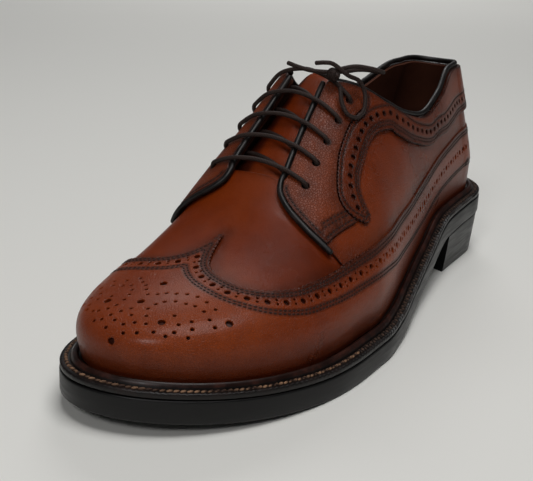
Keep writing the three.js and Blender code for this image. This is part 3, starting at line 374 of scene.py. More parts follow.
# upper edge of the wing: a height along the sides, a reach over the toe with its peak
PEAK_ANGLE, PEAK_FADE = 6, 60
PEAK = np.array([[0, .193], [4, .271], [8, .349], [12, .411], [18, .464], [27, .521], [36, .568],
                 [46, .583], [58, .573], [74, .552], [96, .547]])
from_peak = np.abs(np.degrees(walk_ribs.side * walk_ribs.angle) + PEAK_ANGLE)
wing_side = girth_at_height(wing_height(np.minimum(station, TOE_CENTRE)))
over_toe = curve(PEAK[:, 0], PEAK[:, 1] * TOE_LENGTH)(from_peak)
to_side = mix(over_toe, at_both_sides(wing_side, TOE_CENTRE), smooth(from_peak, PEAK_FADE, 90))
wing_girth = np.where(walk_ribs.toe, to_side, wing_side)
print("wing edge, girth mm at the heel, the ball and the peak:", wing_girth[0].round(1),
      wing_girth[200].round(1), wing_girth.min().round(1))


def along_walk(values, low, high):
    """Flat path of a girth given on the measured walks, from one walk to another, a point a millimetre."""
    v = np.linspace(low, high, int(abs(high - low)) + 1)
    return to_flat(v, np.interp(v, WALKS, values))


# %% [markdown]
# ## Camera
# The shoe is seen from its outer side and a little from above, with the camera close and slightly rolled.
# The numbers come from fitting the sole's outline, the heel and the topline to the photo.

# %% Camera
AZIMUTH, ELEVATION, ROLL = math.radians(118.11), math.radians(17.44), math.radians(3.40)
DISTANCE, FOCAL_PIXELS, PICTURE_PIXELS, CLOSER = 463.9, 563.5, 533, 1.72
SENSOR, AIM, LENS_SHIFT = 36.0, (150.0, 0.0, 40.0), (-0.104, -0.032)
aim = Vector(AIM) + Vector(shoe_shift)
back = Vector((math.sin(AZIMUTH) * math.cos(ELEVATION), -math.cos(AZIMUTH) * math.cos(ELEVATION),
               math.sin(ELEVATION)))
camera_data = bpy.data.cameras.new("camera")
camera_data.sensor_width = SENSOR
camera_data.lens = FOCAL_PIXELS * CLOSER / PICTURE_PIXELS * SENSOR
camera_data.clip_start, camera_data.clip_end = 0.01, 20.0
camera = bpy.data.objects.new("camera", camera_data)
camera.rotation_mode = "QUATERNION"
turned = (-back).to_track_quat("-Z", "Y")
camera.rotation_quaternion = turned @ Matrix.Rotation(ROLL, 4, "Z").to_quaternion()
camera.location = (aim + back * DISTANCE) / 1000
camera_data.shift_x, camera_data.shift_y = LENS_SHIFT
bpy.context.scene.collection.objects.link(camera)
bpy.context.scene.camera = camera
print("camera lens, mm:", round(camera_data.lens, 1))


# %% [markdown]
# ## Finishes
# A finish is a small graph of nodes. One function adds a node, sets it and links it, and one turns the
# hex colours, which are as the eye sees them, into the linear light that the shader works in.

# %% Helpers for finishes
def linear(code):
    """Linear colour of an sRGB hex value: ((c + 0.055) / 1.055) ^ 2.4, or c / 12.92 where it is dark."""
    c = np.array([int(code[i:i + 2], 16) / 255 for i in (1, 3, 5)])
    c = np.where(c <= 0.04045, c / 12.92, ((c + 0.055) / 1.055) ** 2.4)
    return (*c.tolist(), 1.0)


def add(tree, kind, links=None, **settings):
    """A node of a kind. settings are its own values, or its inputs' where the name starts with in_ and
    a socket's number follows. links joins inputs, by name or number, to other nodes' sockets."""
    node = tree.nodes.new(kind)
    for key, value in settings.items():
        if key.startswith("in_"):
            node.inputs[int(key[3:])].default_value = value
        else:
            setattr(node, key, value)
    for socket, source in (links or {}).items():
        tree.links.new(source, node.inputs[socket])
    return node


def finish(name, colour, rough, **sockets):
    """A material with its shader: colour and roughness set, other sockets by name. Returns material, tree
    and shader."""
    material = bpy.data.materials.new(name)
    material.use_nodes = True
    tree = material.node_tree
    shader = tree.nodes["Principled BSDF"]
    shader.inputs["Base Color"].default_value = linear(colour)
    shader.inputs["Roughness"].default_value = rough
    for key, value in sockets.items():
        shader.inputs[key.replace("_", " ")].default_value = value
    return material, tree, shader


def ramp(tree, source, stops):
    """A colour ramp through (place, hex colour) stops."""
    node = add(tree, "ShaderNodeValToRGB", {"Fac": source})
    while len(node.color_ramp.elements) < len(stops):
        node.color_ramp.elements.new(0.5)
    for element, (place, colour) in zip(node.color_ramp.elements, stops):
        element.position, element.color = place, linear(colour)
    return node.outputs["Color"]


def blend_colour(tree, share, below, above):
    """Two colours, hex codes or sockets, mixed by a socket's share of the second."""
    node = add(tree, "ShaderNodeMix", {"Factor": share}, data_type="RGBA")
    for socket, value in (("A", below), ("B", above)):
        target = [s for s in node.inputs if s.name == socket and s.type == "RGBA"][0]
        if isinstance(value, str):
            target.default_value = linear(value)
        else:
            tree.links.new(value, target)
    return [s for s in node.outputs if s.type == "RGBA"][0]


def number(tree, way, a, b=0.0):
    """One sum on numbers or sockets."""
    node = add(tree, "ShaderNodeMath", operation=way)
    for i, value in enumerate((a, b)):
        if isinstance(value, (int, float)):
            node.inputs[i].default_value = value
        else:
            tree.links.new(value, node.inputs[i])
    return node.outputs[0]


def fit_range(tree, value, low, high, to_low=0.0, to_high=1.0):
    node = add(tree, "ShaderNodeMapRange", {"Value": value}, interpolation_type="SMOOTHSTEP")
    for socket, given in (("From Min", low), ("From Max", high), ("To Min", to_low), ("To Max", to_high)):
        node.inputs[socket].default_value = given
    return node.outputs["Result"]


def noise(tree, where, per_metre, detail, rough):
    node = add(tree, "ShaderNodeTexNoise", {"Vector": where}, in_2=per_metre, in_3=detail, in_4=rough)
    return node.outputs[0]


def bumped(tree, shader, height, depth_mm, normal=None):
    """A bump of a depth in millimetres, over another one where that is given."""
    links = {"Height": height}
    if normal is not None:
        links["Normal"] = normal
    node = add(tree, "ShaderNodeBump", links)
    node.inputs["Strength"].default_value = 1.0
    node.inputs["Distance"].default_value = depth_mm / 1000
    tree.links.new(node.outputs[0], shader.inputs["Normal"])
    return node.outputs[0]


def object_place(tree):
    return add(tree, "ShaderNodeTexCoord").outputs["Object"]


def pattern_attribute(tree, name):
    return add(tree, "ShaderNodeAttribute", attribute_name=name).outputs["Fac"]


# %% [markdown]
# The leather is calf, waxed and burnished by hand: reddish brown, almost black along its dressed cut edges,
# and darkened by painted shade towards the edges, in the sunk rows of stitches and where it lies under other
# pieces. Its grain is a net of fine pores, about half a millimetre apart, which is drawn a little coarser so
# that it shows. Three attributes follow the pattern: how far a point is from a cut edge, how far from a row of
# stitches, where the leather sinks, and how dark it is made: painted shade on the shell and the tongue, burnish
# on the wing.

# %% Calf, grained calf and lining
# the edges' dark dressing, also used as painted shade; the cut rims' dye; painted shade, also used for the
# wing's burnish
EDGE_DYE_AND_SHADE_COLOUR, RIM_INK, SHADE_AND_BURNISH_COLOUR = "#1a0a06", "#120806", "#240c06"


def leather_finish(name, light, middle, dark, grain_mm, grain_depth, rough, shade_and_burnish_share=0.5, coat=0.05):
    material, tree, shader = finish(name, middle, rough, IOR=1.45, Specular_IOR_Level=0.2,
                                    Coat_Weight=coat, Coat_Roughness=0.22)
    place = object_place(tree)
    cloud = noise(tree, place, 17, 4, 0.55)
    streak = noise(tree, place, 130, 3, 0.6)
    base = ramp(tree, cloud, [(0.18, dark), (0.42, middle), (0.78, light)])
    fine = fit_range(tree, streak, 0.35, 0.75)
    base = blend_colour(tree, number(tree, "MULTIPLY", fine, 0.22), base, dark)
    # darker within 8 mm of a cut edge: partly the edge's dressing, partly painted shade; on the shell it is
    # painted shade beside the wing's edge
    edge = fit_range(tree, pattern_attribute(tree, "edge_mm"), 0.3, 8.0, 1.0, 0.0)
    edge = number(tree, "MULTIPLY", edge, number(tree, "ADD", number(tree, "MULTIPLY", streak, 0.9), 0.25))
    base = blend_colour(tree, number(tree, "MULTIPLY", edge, 0.62), base, EDGE_DYE_AND_SHADE_COLOUR)
    rim = fit_range(tree, pattern_attribute(tree, "edge_mm"), 0.0, 0.75, 1.0, 0.0)
    base = blend_colour(tree, number(tree, "MULTIPLY", rim, 0.85), base, RIM_INK)
    # painted shade in the sunk rows of stitches
    seam = fit_range(tree, pattern_attribute(tree, "seam_mm"), 0.35, 1.6, 1.0, 0.0)
    base = blend_colour(tree, number(tree, "MULTIPLY", seam, 0.6), base, EDGE_DYE_AND_SHADE_COLOUR)
    # painted shade where a piece lies under another, and the wing's burnish towards the feather edge
    base = blend_colour(tree, fit_range(tree, pattern_attribute(tree, "shade_and_burnish"), 0.0, 1.0, 0.0, shade_and_burnish_share), base, SHADE_AND_BURNISH_COLOUR)
    pores = add(tree, "ShaderNodeTexVoronoi", {"Vector": place}, feature="DISTANCE_TO_EDGE",
                in_2=1000 / grain_mm).outputs["Distance"]
    pore = fit_range(tree, pores, 0.0, 0.20)
    base = blend_colour(tree, number(tree, "MULTIPLY", number(tree, "SUBTRACT", 1.0, pore), 0.30), base, dark)
    tree.links.new(base, shader.inputs["Base Color"])
    soft = noise(tree, place, 420, 2, 0.5)
    grain = number(tree, "ADD", pore, number(tree, "MULTIPLY", soft, 0.8))
    first = bumped(tree, shader, grain, grain_depth)
    second = bumped(tree, shader, fit_range(tree, pattern_attribute(tree, "seam_mm"), 0.0, 1.5), 0.30, first)
    bumped(tree, shader, noise(tree, place, 48, 2, 0.5), 0.30, second)
    roughness = fit_range(tree, cloud, 0.3, 0.75, rough - 0.05, rough + 0.08)
    tree.links.new(roughness, shader.inputs["Roughness"])
    return material


calf = leather_finish("burnished_calf", "#903e12", "#7a2f0c", "#4f1b07", 0.85, 0.12, 0.31, coat=0.14)
vamp_calf = leather_finish("smooth_calf", "#83360b", "#6e2706", "#481604", 0.6, 0.03, 0.32, 0.9)
grained_calf = leather_finish("grained_calf", "#96431d", "#7b3414", "#48190a", 1.1, 0.20, 0.42, 0.35)
lining_leather = leather_finish("lining_leather", "#5e3524", "#4c291c", "#311a11", 0.7, 0.03, 0.62, coat=0.0)

# %% [markdown]
# Edges that are bound or piped are a thin folded leather with black dressing. The sole's edge is inked
# and waxed black, so it shines softly, with faint marks of the iron that run along it.

# %% Dressed edges, sole ink, welt, thread and lace
def dressed_finish(name, colour, light, rough, streaks, depth):
    material, tree, shader = finish(name, colour, rough, IOR=1.48, Specular_IOR_Level=0.3, Coat_Weight=0.05,
                                    Coat_Roughness=0.25)
    place = object_place(tree)
    stretched = add(tree, "ShaderNodeMapping", {"Vector": place}, in_3=streaks).outputs[0]
    marks = noise(tree, stretched, 160, 4, 0.6)
    base = blend_colour(tree, fit_range(tree, marks, 0.42, 0.75), colour, light)
    tree.links.new(base, shader.inputs["Base Color"])
    tree.links.new(fit_range(tree, marks, 0.3, 0.7, rough - 0.05, rough + 0.12), shader.inputs["Roughness"])
    bumped(tree, shader, marks, depth)
    return material


edge_dressing = dressed_finish("edge_dressing", "#0e0b0a", "#241d1b", 0.42, (1, 1, 1), 0.06)
sole_ink = dressed_finish("sole_ink", "#080707", "#121011", 0.42, (0.25, 0.25, 3.0), 0.04)
heel_ink = dressed_finish("heel_ink", "#080808", "#131314", 0.42, (0.3, 0.3, 5.0), 0.05)
welt_wax = dressed_finish("waxed_welt", "#0d0807", "#1f1310", 0.42, (1, 1, 1), 0.12)
bead_wax = dressed_finish("waxed_bead", "#1c0b07", "#3a190f", 0.36, (1, 1, 1), 0.08)
insole_leather = leather_finish("insole_leather", "#9a7452", "#8a6647", "#6a4a31", 0.9, 0.05, 0.6)


def thread_finish(name, colour, light, turns_mm):
    """Twisted thread: slanting strands, drawn as a wave across the object's place, with a painted highlight on
    each strand's crest.
    """
    material, tree, shader = finish(name, colour, 0.7, Specular_IOR_Level=0.25)
    place = object_place(tree)
    strand = add(tree, "ShaderNodeTexWave", {"Vector": place}, in_1=1000 / turns_mm / 6.28, in_2=1.5,
                 bands_direction="DIAGONAL").outputs["Fac"]
    tint = noise(tree, place, 90, 2, 0.5)
    base = blend_colour(tree, number(tree, "MULTIPLY", strand, tint), colour, light)
    tree.links.new(base, shader.inputs["Base Color"])
    bumped(tree, shader, strand, 0.08)
    return material


dark_thread = thread_finish("dark_thread", "#170b08", "#33201a", 0.8)
# The toe's front stitches take a tan-crested copy: partly worn thread, partly painted highlight where light
# falls on the front; the sides keep a darker copy.
worn_and_lit_thread = thread_finish("waxed_thread_worn_and_lit", "#2b1a13", "#a98264", 1.1)
side_thread = thread_finish("waxed_side_thread", "#150c09", "#5d463a", 1.1)


STRANDS, BRAID_MM = 6, 1.5


def lace_finish():
    """Round braid: two families of strands cross along the lace's own map, u round it and v along it."""
    material, tree, shader = finish("waxed_lace", "#2c1c16", 0.62, Specular_IOR_Level=0.3)
    where = add(tree, "ShaderNodeUVMap", uv_map="braid").outputs[0]
    parts = add(tree, "ShaderNodeSeparateXYZ", {"Vector": where})
    u = number(tree, "MULTIPLY", parts.outputs[0], STRANDS * 2 * math.pi)
    v = number(tree, "MULTIPLY", parts.outputs[1], 2 * math.pi / BRAID_MM)
    right = number(tree, "SINE", number(tree, "ADD", u, v))
    left = number(tree, "SINE", number(tree, "SUBTRACT", u, v))
    weave = number(tree, "MAXIMUM", right, left)
    tint = fit_range(tree, weave, -0.2, 1.0)
    cloud = noise(tree, object_place(tree), 130, 3, 0.6)
    # painted shade between the braid's strands, lighter on their crests
    base = blend_colour(tree, tint, "#0f0806", "#2e1f1a")
    base = blend_colour(tree, number(tree, "MULTIPLY", cloud, 0.35), base, "#3f2c25")
    tree.links.new(base, shader.inputs["Base Color"])
    bumped(tree, shader, tint, 0.12)
    return material


lace_braid = lace_finish()
print("finishes:", len(bpy.data.materials))


# %% [markdown]
# ## Making a mesh
# Each piece is worked out as arrays and then put into a mesh once, in metres. Its object stays at the origin,
# rides on the shoe's one body and hides the plain solid it stands for.

# %% A piece from arrays
# rings of a tube's rounded end as shares of its length, that length in radii, and the least radius in mm
END_RINGS, END_LENGTH, SMALLEST_RING = np.array([0.0, 0.35, 0.75, 0.95]), 0.8, 0.02


def piece(name, points, faces, materials, replaces=(), slot=None, corners=None, attributes=None,
          uv=None, sharp=None, slots=None):
    """A mesh from points in millimetres and faces of one size. corners are normals for each face corner,
    sharp is the angle in degrees over which an edge stays sharp, and slots is a material number for each
    face."""
    faces = np.asarray(faces, np.int32)
    mesh = bpy.data.meshes.new(name)
    mesh.vertices.add(len(points))
    mesh.vertices.foreach_set("co", ((points + shoe_shift) / 1000).astype(np.float32).ravel())
    mesh.loops.add(faces.size)
    mesh.loops.foreach_set("vertex_index", faces.ravel())
    mesh.polygons.add(len(faces))
    mesh.polygons.foreach_set("loop_start", np.arange(len(faces), dtype=np.int32) * faces.shape[1])
    mesh.polygons.foreach_set("use_smooth", np.ones(len(faces), bool))
    for material in materials:
        mesh.materials.append(material)
    if slots is not None:
        mesh.polygons.foreach_set("material_index", np.asarray(slots, np.int32))
    mesh.update(calc_edges=True)
    for key, values in (attributes or {}).items():
        mesh.attributes.new(key, "FLOAT", "POINT").data.foreach_set("value", np.asarray(values, np.float32))
    if uv is not None:
        layer = mesh.uv_layers.new(name="braid")
        layer.data.foreach_set("uv", np.asarray(uv, np.float32)[faces.ravel()].ravel())
    if corners is not None:
        mesh.normals_split_custom_set(np.asarray(corners, np.float32).reshape(-1, 3).tolist())
    elif sharp:
        mesh.set_sharp_from_angle(angle=math.radians(sharp))
    obj = bpy.data.objects.new(name, mesh)
    bpy.context.scene.collection.objects.link(obj)
    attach(obj, "root")
    if replaces:
        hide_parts(*replaces)
    print(f"{name}: {len(points)} points, {len(faces)} faces")
    return obj


def grid_faces(rows, columns, round_rows=False, round_columns=False):
    """Quads of a grid of points, closed either way where asked."""
    i = np.arange(rows if round_rows else rows - 1)[:, None]
    j = np.arange(columns if round_columns else columns - 1)[None, :]
    k, m = (i + 1) % rows, (j + 1) % columns
    return np.stack(np.broadcast_arrays(i * columns + j, k * columns + j, k * columns + m, i * columns + m),
                    -1).reshape(-1, 4)


def outward(points, faces):
    """The faces turned so that the body's volume is positive: sum of a . (b x c) / 6 over its triangles."""
    tri = points[faces[:, :3]]
    volume = np.einsum("ij,ij->", tri[:, 0], np.cross(tri[:, 1], tri[:, 2]))
    if faces.shape[1] == 4:
        tri = points[faces[:, [0, 2, 3]]]
        volume += np.einsum("ij,ij->", tri[:, 0], np.cross(tri[:, 1], tri[:, 2]))
    return faces if volume > 0 else faces[:, ::-1]


def closed_tube(path, radius, sides):
    """A round tube along a path: rings across its direction, rounded ends, and a fan of quads over each
    end's small ring. Returns points, quads and a map with u round the tube and v along it in millimetres."""
    path = np.asarray(path, float)
    along = np.gradient(path, axis=0)
    along /= np.linalg.norm(along, axis=1, keepdims=True)
    across = np.zeros_like(along)
    last_across = np.array([0.0, 0.0, 1.0])
    for i, direction in enumerate(along):
        last_across = last_across - direction * (last_across @ direction)
        last_across /= np.linalg.norm(last_across)
        across[i] = last_across
    third = np.cross(along, across)
    back = 1 - END_RINGS
    shrink = np.sqrt(1 - back ** 2)
    ends = len(END_RINGS)
    rows = np.concatenate([np.zeros(ends, int), np.arange(len(path)), np.full(ends, len(path) - 1)])
    grow = np.concatenate([shrink, np.ones(len(path)), shrink[::-1]])
    push = np.concatenate([-back, np.zeros(len(path)), back[::-1]])
    middle = path[rows] + along[rows] * (push * radius * END_LENGTH)[:, None]
    turn = np.linspace(0, 2 * np.pi, sides, endpoint=False)
    rings = (middle[:, None, :]
             + (across[rows, None, :] * np.cos(turn)[None, :, None]
                + third[rows, None, :] * np.sin(turn)[None, :, None])
             * np.maximum(grow * radius, SMALLEST_RING)[:, None, None])
    run = np.concatenate([[0], np.cumsum(np.linalg.norm(np.diff(middle, axis=0), axis=1))])
    uv = np.stack(np.broadcast_arrays(turn[None, :] / (2 * np.pi), run[:, None]), -1).reshape(-1, 2)
    points = np.vstack([rings.reshape(-1, 3), middle[[0, -1]]])
    caps = []
    for tip, first in ((-2, 0), (-1, (len(rows) - 1) * sides)):
        ids = first + np.arange(sides)
        caps.append(np.stack([ids[0::2], ids[1::2], np.roll(ids[0::2], -1),
                              np.full(sides // 2, len(points) + tip)], -1))
    faces = np.vstack([grid_faces(len(rows), sides, round_columns=True), caps[0][:, ::-1], caps[1]])
    return points, outward(points, faces), np.vstack([uv, [[0.5, 0.0], [0.5, 0.0]]])


def tubes(name, runs, radius, material, sides=12, **rest):
    """Closed tubes along paths as one piece."""
    points, faces, maps, first = [], [], [], 0
    for path, own_radius in zip(runs, np.broadcast_to(radius, len(runs))):
        p, f, uv = closed_tube(path, own_radius, sides)
        points.append(p)
        faces.append(f + first)
        maps.append(uv)
        first += len(p)
    return piece(name, np.vstack(points), np.vstack(faces), [material], uv=np.vstack(maps), **rest)


# %% [markdown]
# ## The lace
# One round waxed lace runs through the eyelets. Its bars cross the facings, strands pass below to the
# next pair, and over the top pair it is tied in a bow: each half makes a loop and then its own end.
# The camera and the bow come first, because the bow is the only part that lies free.

# %% The bow's two cords and its knot
facing_top_face = -COVER + GAP + OVERLAY + GAP + OVERLAY
bar_lift = facing_top_face + GAP + LACE / 2
top_eyelet = FIRST_EYELET - (EYELET_PAIRS - 1) * EYELET_STEP
KNOT_RADIUS, BAR_ARCH, KNOT_GAP, KNOT_ROW = 2.7, 0.3, 0.6, 12.5
KNOT_LINE, KNOT_TURNS, WINDING, WINDING_HALF = [0.5, 0.86, -0.1], 2.3 * np.pi, 1.75, 1.95
CORE_RADIUS, CORE_HALF = 1.35, 2.6
knot_middle = on_last(top_eyelet, KNOT_ROW, bar_lift + LACE / 2 + BAR_ARCH + KNOT_GAP + KNOT_RADIUS)[0]
# walk from the top eyelet, girth and lift of the loop that lies on the facing
LYING_LOOP = np.array([[2.4, 17.8, 2.8], [5.4, 21.2, 1.2], [6.8, 26, .4], [4.2, 30.6, .4], [-1.6, 31.8, .7],
                       [-6.2, 28, 2], [-6.4, 22.4, 4], [-2.4, 17.4, 6.4]])
outer_loop = on_last(top_eyelet + LYING_LOOP[:, 0], LYING_LOOP[:, 1], bar_lift + LYING_LOOP[:, 2])[0]
# the rest of the two cords, from the knot's middle
outer_end = knot_middle + np.array([[.9, .2, 4.5], [3.6, -3, 5.2], [6, -6, 4.9]])
rear_loop = knot_middle + np.array([[-3.3, .6, 1.9], [-8.8, 5.9, 3.3], [-14.6, 11.2, 2.4], [-20.4, 14.4, .6],
                                    [-25, 11.4, -.4], [-23.6, 5.2, 0], [-17.4, 2.6, .4], [-11, .8, .2],
                                    [-5.6, -1.6, .2]])
inner_end = knot_middle + np.array([[-.8, -4.3, .4], [4, -9.4, .9], [8, -14, 2.4], [11, -17.5, 4]])


def run_length(path):
    return float(np.linalg.norm(np.diff(path, axis=0), axis=1).sum())


def lace(name, runs, replaced, radius=LACE / 2):
    return tubes(name, runs, radius, lace_braid, replaces=replaced, slot="lace_cotton")


def knot_runs():
    """The knot: the lace wound twice round itself, r (cos a, sin a) across its own line, and a short core."""
    turns = np.linspace(-KNOT_TURNS, KNOT_TURNS, 70)
    ahead = np.array(KNOT_LINE)
    ahead /= np.linalg.norm(ahead)
    across = np.cross(ahead, [0.0, 0.0, 1.0])
    across /= np.linalg.norm(across)
    up = np.cross(across, ahead)
    ring = WINDING * (np.cos(turns)[:, None] * across + np.sin(turns)[:, None] * up)
    wound = knot_middle + ring + ahead * (turns / turns[-1] * WINDING_HALF)[:, None]
    return wound, knot_middle + ahead * np.linspace(-CORE_HALF, CORE_HALF, 14)[:, None]


knot = lace("lace_knot_wrap", knot_runs(), ("lace_knot",), [LACE / 2, CORE_RADIUS])
cord_pieces = []
for name, points, replaced in (
        ("lace_bow_outer", [outer_loop, outer_end], ("lace_loop_outer", "lace_end_outer")),
        ("lace_bow_rear", [rear_loop, inner_end], ("lace_loop_rear", "lace_end_inner"))):
    path = rounded(np.vstack(points), 0.8)
    cord_pieces.append((lace(name, [path], replaced), path))
for k, (obj, path) in enumerate(cord_pieces):
    print(obj.name, "length, mm:", round(run_length(path), 1))

# %% Bars over the facings and strands under them
EYELETS = FIRST_EYELET - EYELET_STEP * np.arange(EYELET_PAIRS)
UNDER_GAP = 0.5


def across_shoe(x, signed_girth, lift):
    """Points across the shoe at stations x: a signed girth goes to the outer side where it is positive."""
    return on_last(np.where(signed_girth >= 0, x, 2 * LENGTH - x), np.abs(signed_girth), lift)[0]


# shares of the eyelet row's girth, and lifts: under the facing, up through the eyelet and on to the middle
half_shares = np.array([1.06, 1.03, .97, .86, .5, 0])
half_lifts = np.array([-1.6, .6, bar_lift - .5, bar_lift, bar_lift + .3, bar_lift + .3])
bar_shares = np.concatenate([-half_shares, half_shares[-2::-1]])
bar_lifts = np.concatenate([half_lifts, half_lifts[-2::-1]])
for i, eyelet in enumerate(EYELETS):
    path = rounded(across_shoe(eyelet, bar_shares * EYELET_ROW, bar_lifts), 0.7)
    lace(f"lace_crossing_{i + 1}", [path], (f"lace_bar_{i + 1}",))

base_outer, base_inner = -COVER, -COVER - WALL
under_level = base_inner - UNDER_GAP - LACE / 2
strand_shares = np.array([-1, -.5, 0, .5, 1])
for i, eyelet in enumerate(EYELETS[:-1]):
    x = eyelet - EYELET_STEP * mix(.85, .15, (strand_shares + 1) / 2)
    path = rounded(across_shoe(x, strand_shares * (facing_half(x) + LACE), under_level), 0.9)
    lace(f"lace_strand_{i + 1}", [path], (f"lace_under_{i + 1}",))


# %% [markdown]
# ## Cut leather
# A cut piece starts as a flat outline with its punched holes. The outline, the holes, a ring just inside
# each of them and an even grid of points between are joined into triangles that keep every cut, and the
# result is laid on the last at two heights, with walls between them. The ring lets the cut edge round off.

# %% Cutting and laying leather
# how far a cut edge is rounded down, how its normals lean up and out, and a distance past every seam
HOLE_ROUND_OFF, EDGE_DROP, EDGE_LEAN, FAR = 0.4, 0.28, (0.72, 0.69), 9.0
# the grid of triangles: its row height and how clear it keeps of cuts and rows, as shares of its spacing;
# then the step of points along a row, and how clear they keep of cuts
ROW_HEIGHT, CLEAR_OF_CUTS, CLEAR_OF_ROWS, ROW_STEP, ROW_CLEAR = 0.866, 0.55, 0.5, 1.3, 1.1
# points measured at a time, and the step of points that seams are measured from
PART, SEAM_STEP = 4000, 0.6


def nearest(points, targets):
    """Distance from each point to the nearest target, a part of the points at a time."""
    found = []
    for k in range(0, len(points), PART):
        d = points[k:k + PART, None, :] - targets[None, :, :]
        found.append(np.sqrt((d ** 2).sum(-1).min(1)))
    return np.concatenate(found)


def inside_loop(points, loop):
    """Whether points lie inside a loop: a ray to the right crosses it an odd number of times."""
    a, b = loop, np.roll(loop, -1, 0)
    found = []
    for k in range(0, len(points), PART):
        x, y = points[k:k + PART, 0, None], points[k:k + PART, 1, None]
        crosses = (a[:, 1] > y) != (b[:, 1] > y)
        with np.errstate(divide="ignore", invalid="ignore"):
            at = a[:, 0] + (y - a[:, 1]) * (b[:, 0] - a[:, 0]) / (b[:, 1] - a[:, 1])
        found.append((crosses & (x < at)).sum(1) % 2 == 1)
    return np.concatenate(found)


def turned_left(loop):
    """The loop run anticlockwise: twice its area is the sum of x dy - y dx."""
    x, y = loop[:, 0], loop[:, 1]
    return loop if (x * np.roll(y, -1) - y * np.roll(x, -1)).sum() > 0 else loop[::-1]


def unstretched(centres):
    """For each centre the matrix that turns a step over the leather into a step of the flat pattern. With the
    surface's changes along the two axes as columns of J and G = J^T J, it is the inverse root of G, where
    root G = (G + root(det G) I) / root(trace G + 2 root(det G))."""
    change = np.stack(stretch(centres, 0.5), -1)
    g = np.einsum("nki,nkj->nij", change, change)
    root = np.sqrt(np.linalg.det(g))[:, None, None]
    trace = (g[:, 0, 0] + g[:, 1, 1])[:, None, None]
    return np.linalg.inv((g + root * np.eye(2)) / np.sqrt(trace + 2 * root))


def punched(centres, radii, corners):
    """Round holes on the shoe, as loops of the flat pattern."""
    radii = np.broadcast_to(radii, len(centres))
    turn = np.linspace(0, 2 * np.pi, corners, endpoint=False)
    ring = np.stack([np.cos(turn), np.sin(turn)], -1)
    unit = np.einsum("nij,cj->nci", unstretched(centres), ring)
    return list(centres[:, None, :] + unit * radii[:, None, None])


def flat_pattern(outline, holes, openings, rows, spacing, round_off):
    """The flat triangles of a cut piece, with the loop that each of its points lies on, or -1. A triangle
    whose three points lie on one hole is left out, and so are those past the outline or in an opening."""
    loops = [outline] + openings + holes
    rings = [aside(outline, round_off, True)] + [aside(loop, -round_off, True) for loop in openings]
    rings += [aside(hole, -min(round_off, HOLE_ROUND_OFF), True) for hole in holes]
    cuts = np.vstack(loops)
    low_corner, high_corner = outline.min(0), outline.max(0)
    nx, ny = ((high_corner - low_corner) / spacing).astype(int) + 2
    gx, gy = np.meshgrid(np.arange(nx), np.arange(ny), indexing="ij")
    grid = np.stack([gx + 0.5 * (gy % 2), gy * ROW_HEIGHT], -1).reshape(-1, 2) * spacing + low_corner
    grid = grid[inside_loop(grid, outline)]
    for loop in openings:
        grid = grid[~inside_loop(grid, loop)]
    grid = grid[nearest(grid, cuts) > CLEAR_OF_CUTS * spacing]
    extra = rings
    if rows:
        along_rows = np.vstack([spaced(r, ROW_STEP) for r in rows])
        along_rows = along_rows[nearest(along_rows, cuts) > ROW_CLEAR]
        grid = grid[nearest(grid, along_rows) > CLEAR_OF_ROWS * spacing]
        extra = rings + [along_rows]
    points = np.vstack([cuts, *extra, grid])
    edges, loop_of, start = [], np.full(len(points), -1), 0
    for k, loop in enumerate(loops):
        ids = start + np.arange(len(loop))
        edges.append(np.stack([ids, np.roll(ids, -1)], -1))
        loop_of[ids] = k
        start += len(loop)
    out = delaunay_2d_cdt([Vector(p) for p in points], np.vstack(edges).tolist(), [], 1, 1e-5)
    flat = np.array([tuple(p) for p in out[0]])
    triangles = np.array(out[2], np.int64)
    first = np.array([o[0] if o else -1 for o in out[3]])
    label = np.where(first >= 0, loop_of[first], -1)
    a, b, c = label[triangles].T
    triangles = triangles[~((a == b) & (b == c) & (a > len(openings)))]
    middle = flat[triangles].mean(1)
    keep = inside_loop(middle, outline)
    for loop in openings:
        keep &= ~inside_loop(middle, loop)
    used, triangles = np.unique(triangles[keep], return_inverse=True)
    flat, triangles, label = flat[used], triangles.reshape(-1, 3), label[used]
    (ax, ay), (bx, by), (cx, cy) = flat[triangles].transpose(1, 2, 0)
    area = (bx - ax) * (cy - ay) - (cx - ax) * (by - ay)
    return flat, np.where(area[:, None] > 0, triangles, triangles[:, ::-1]), label


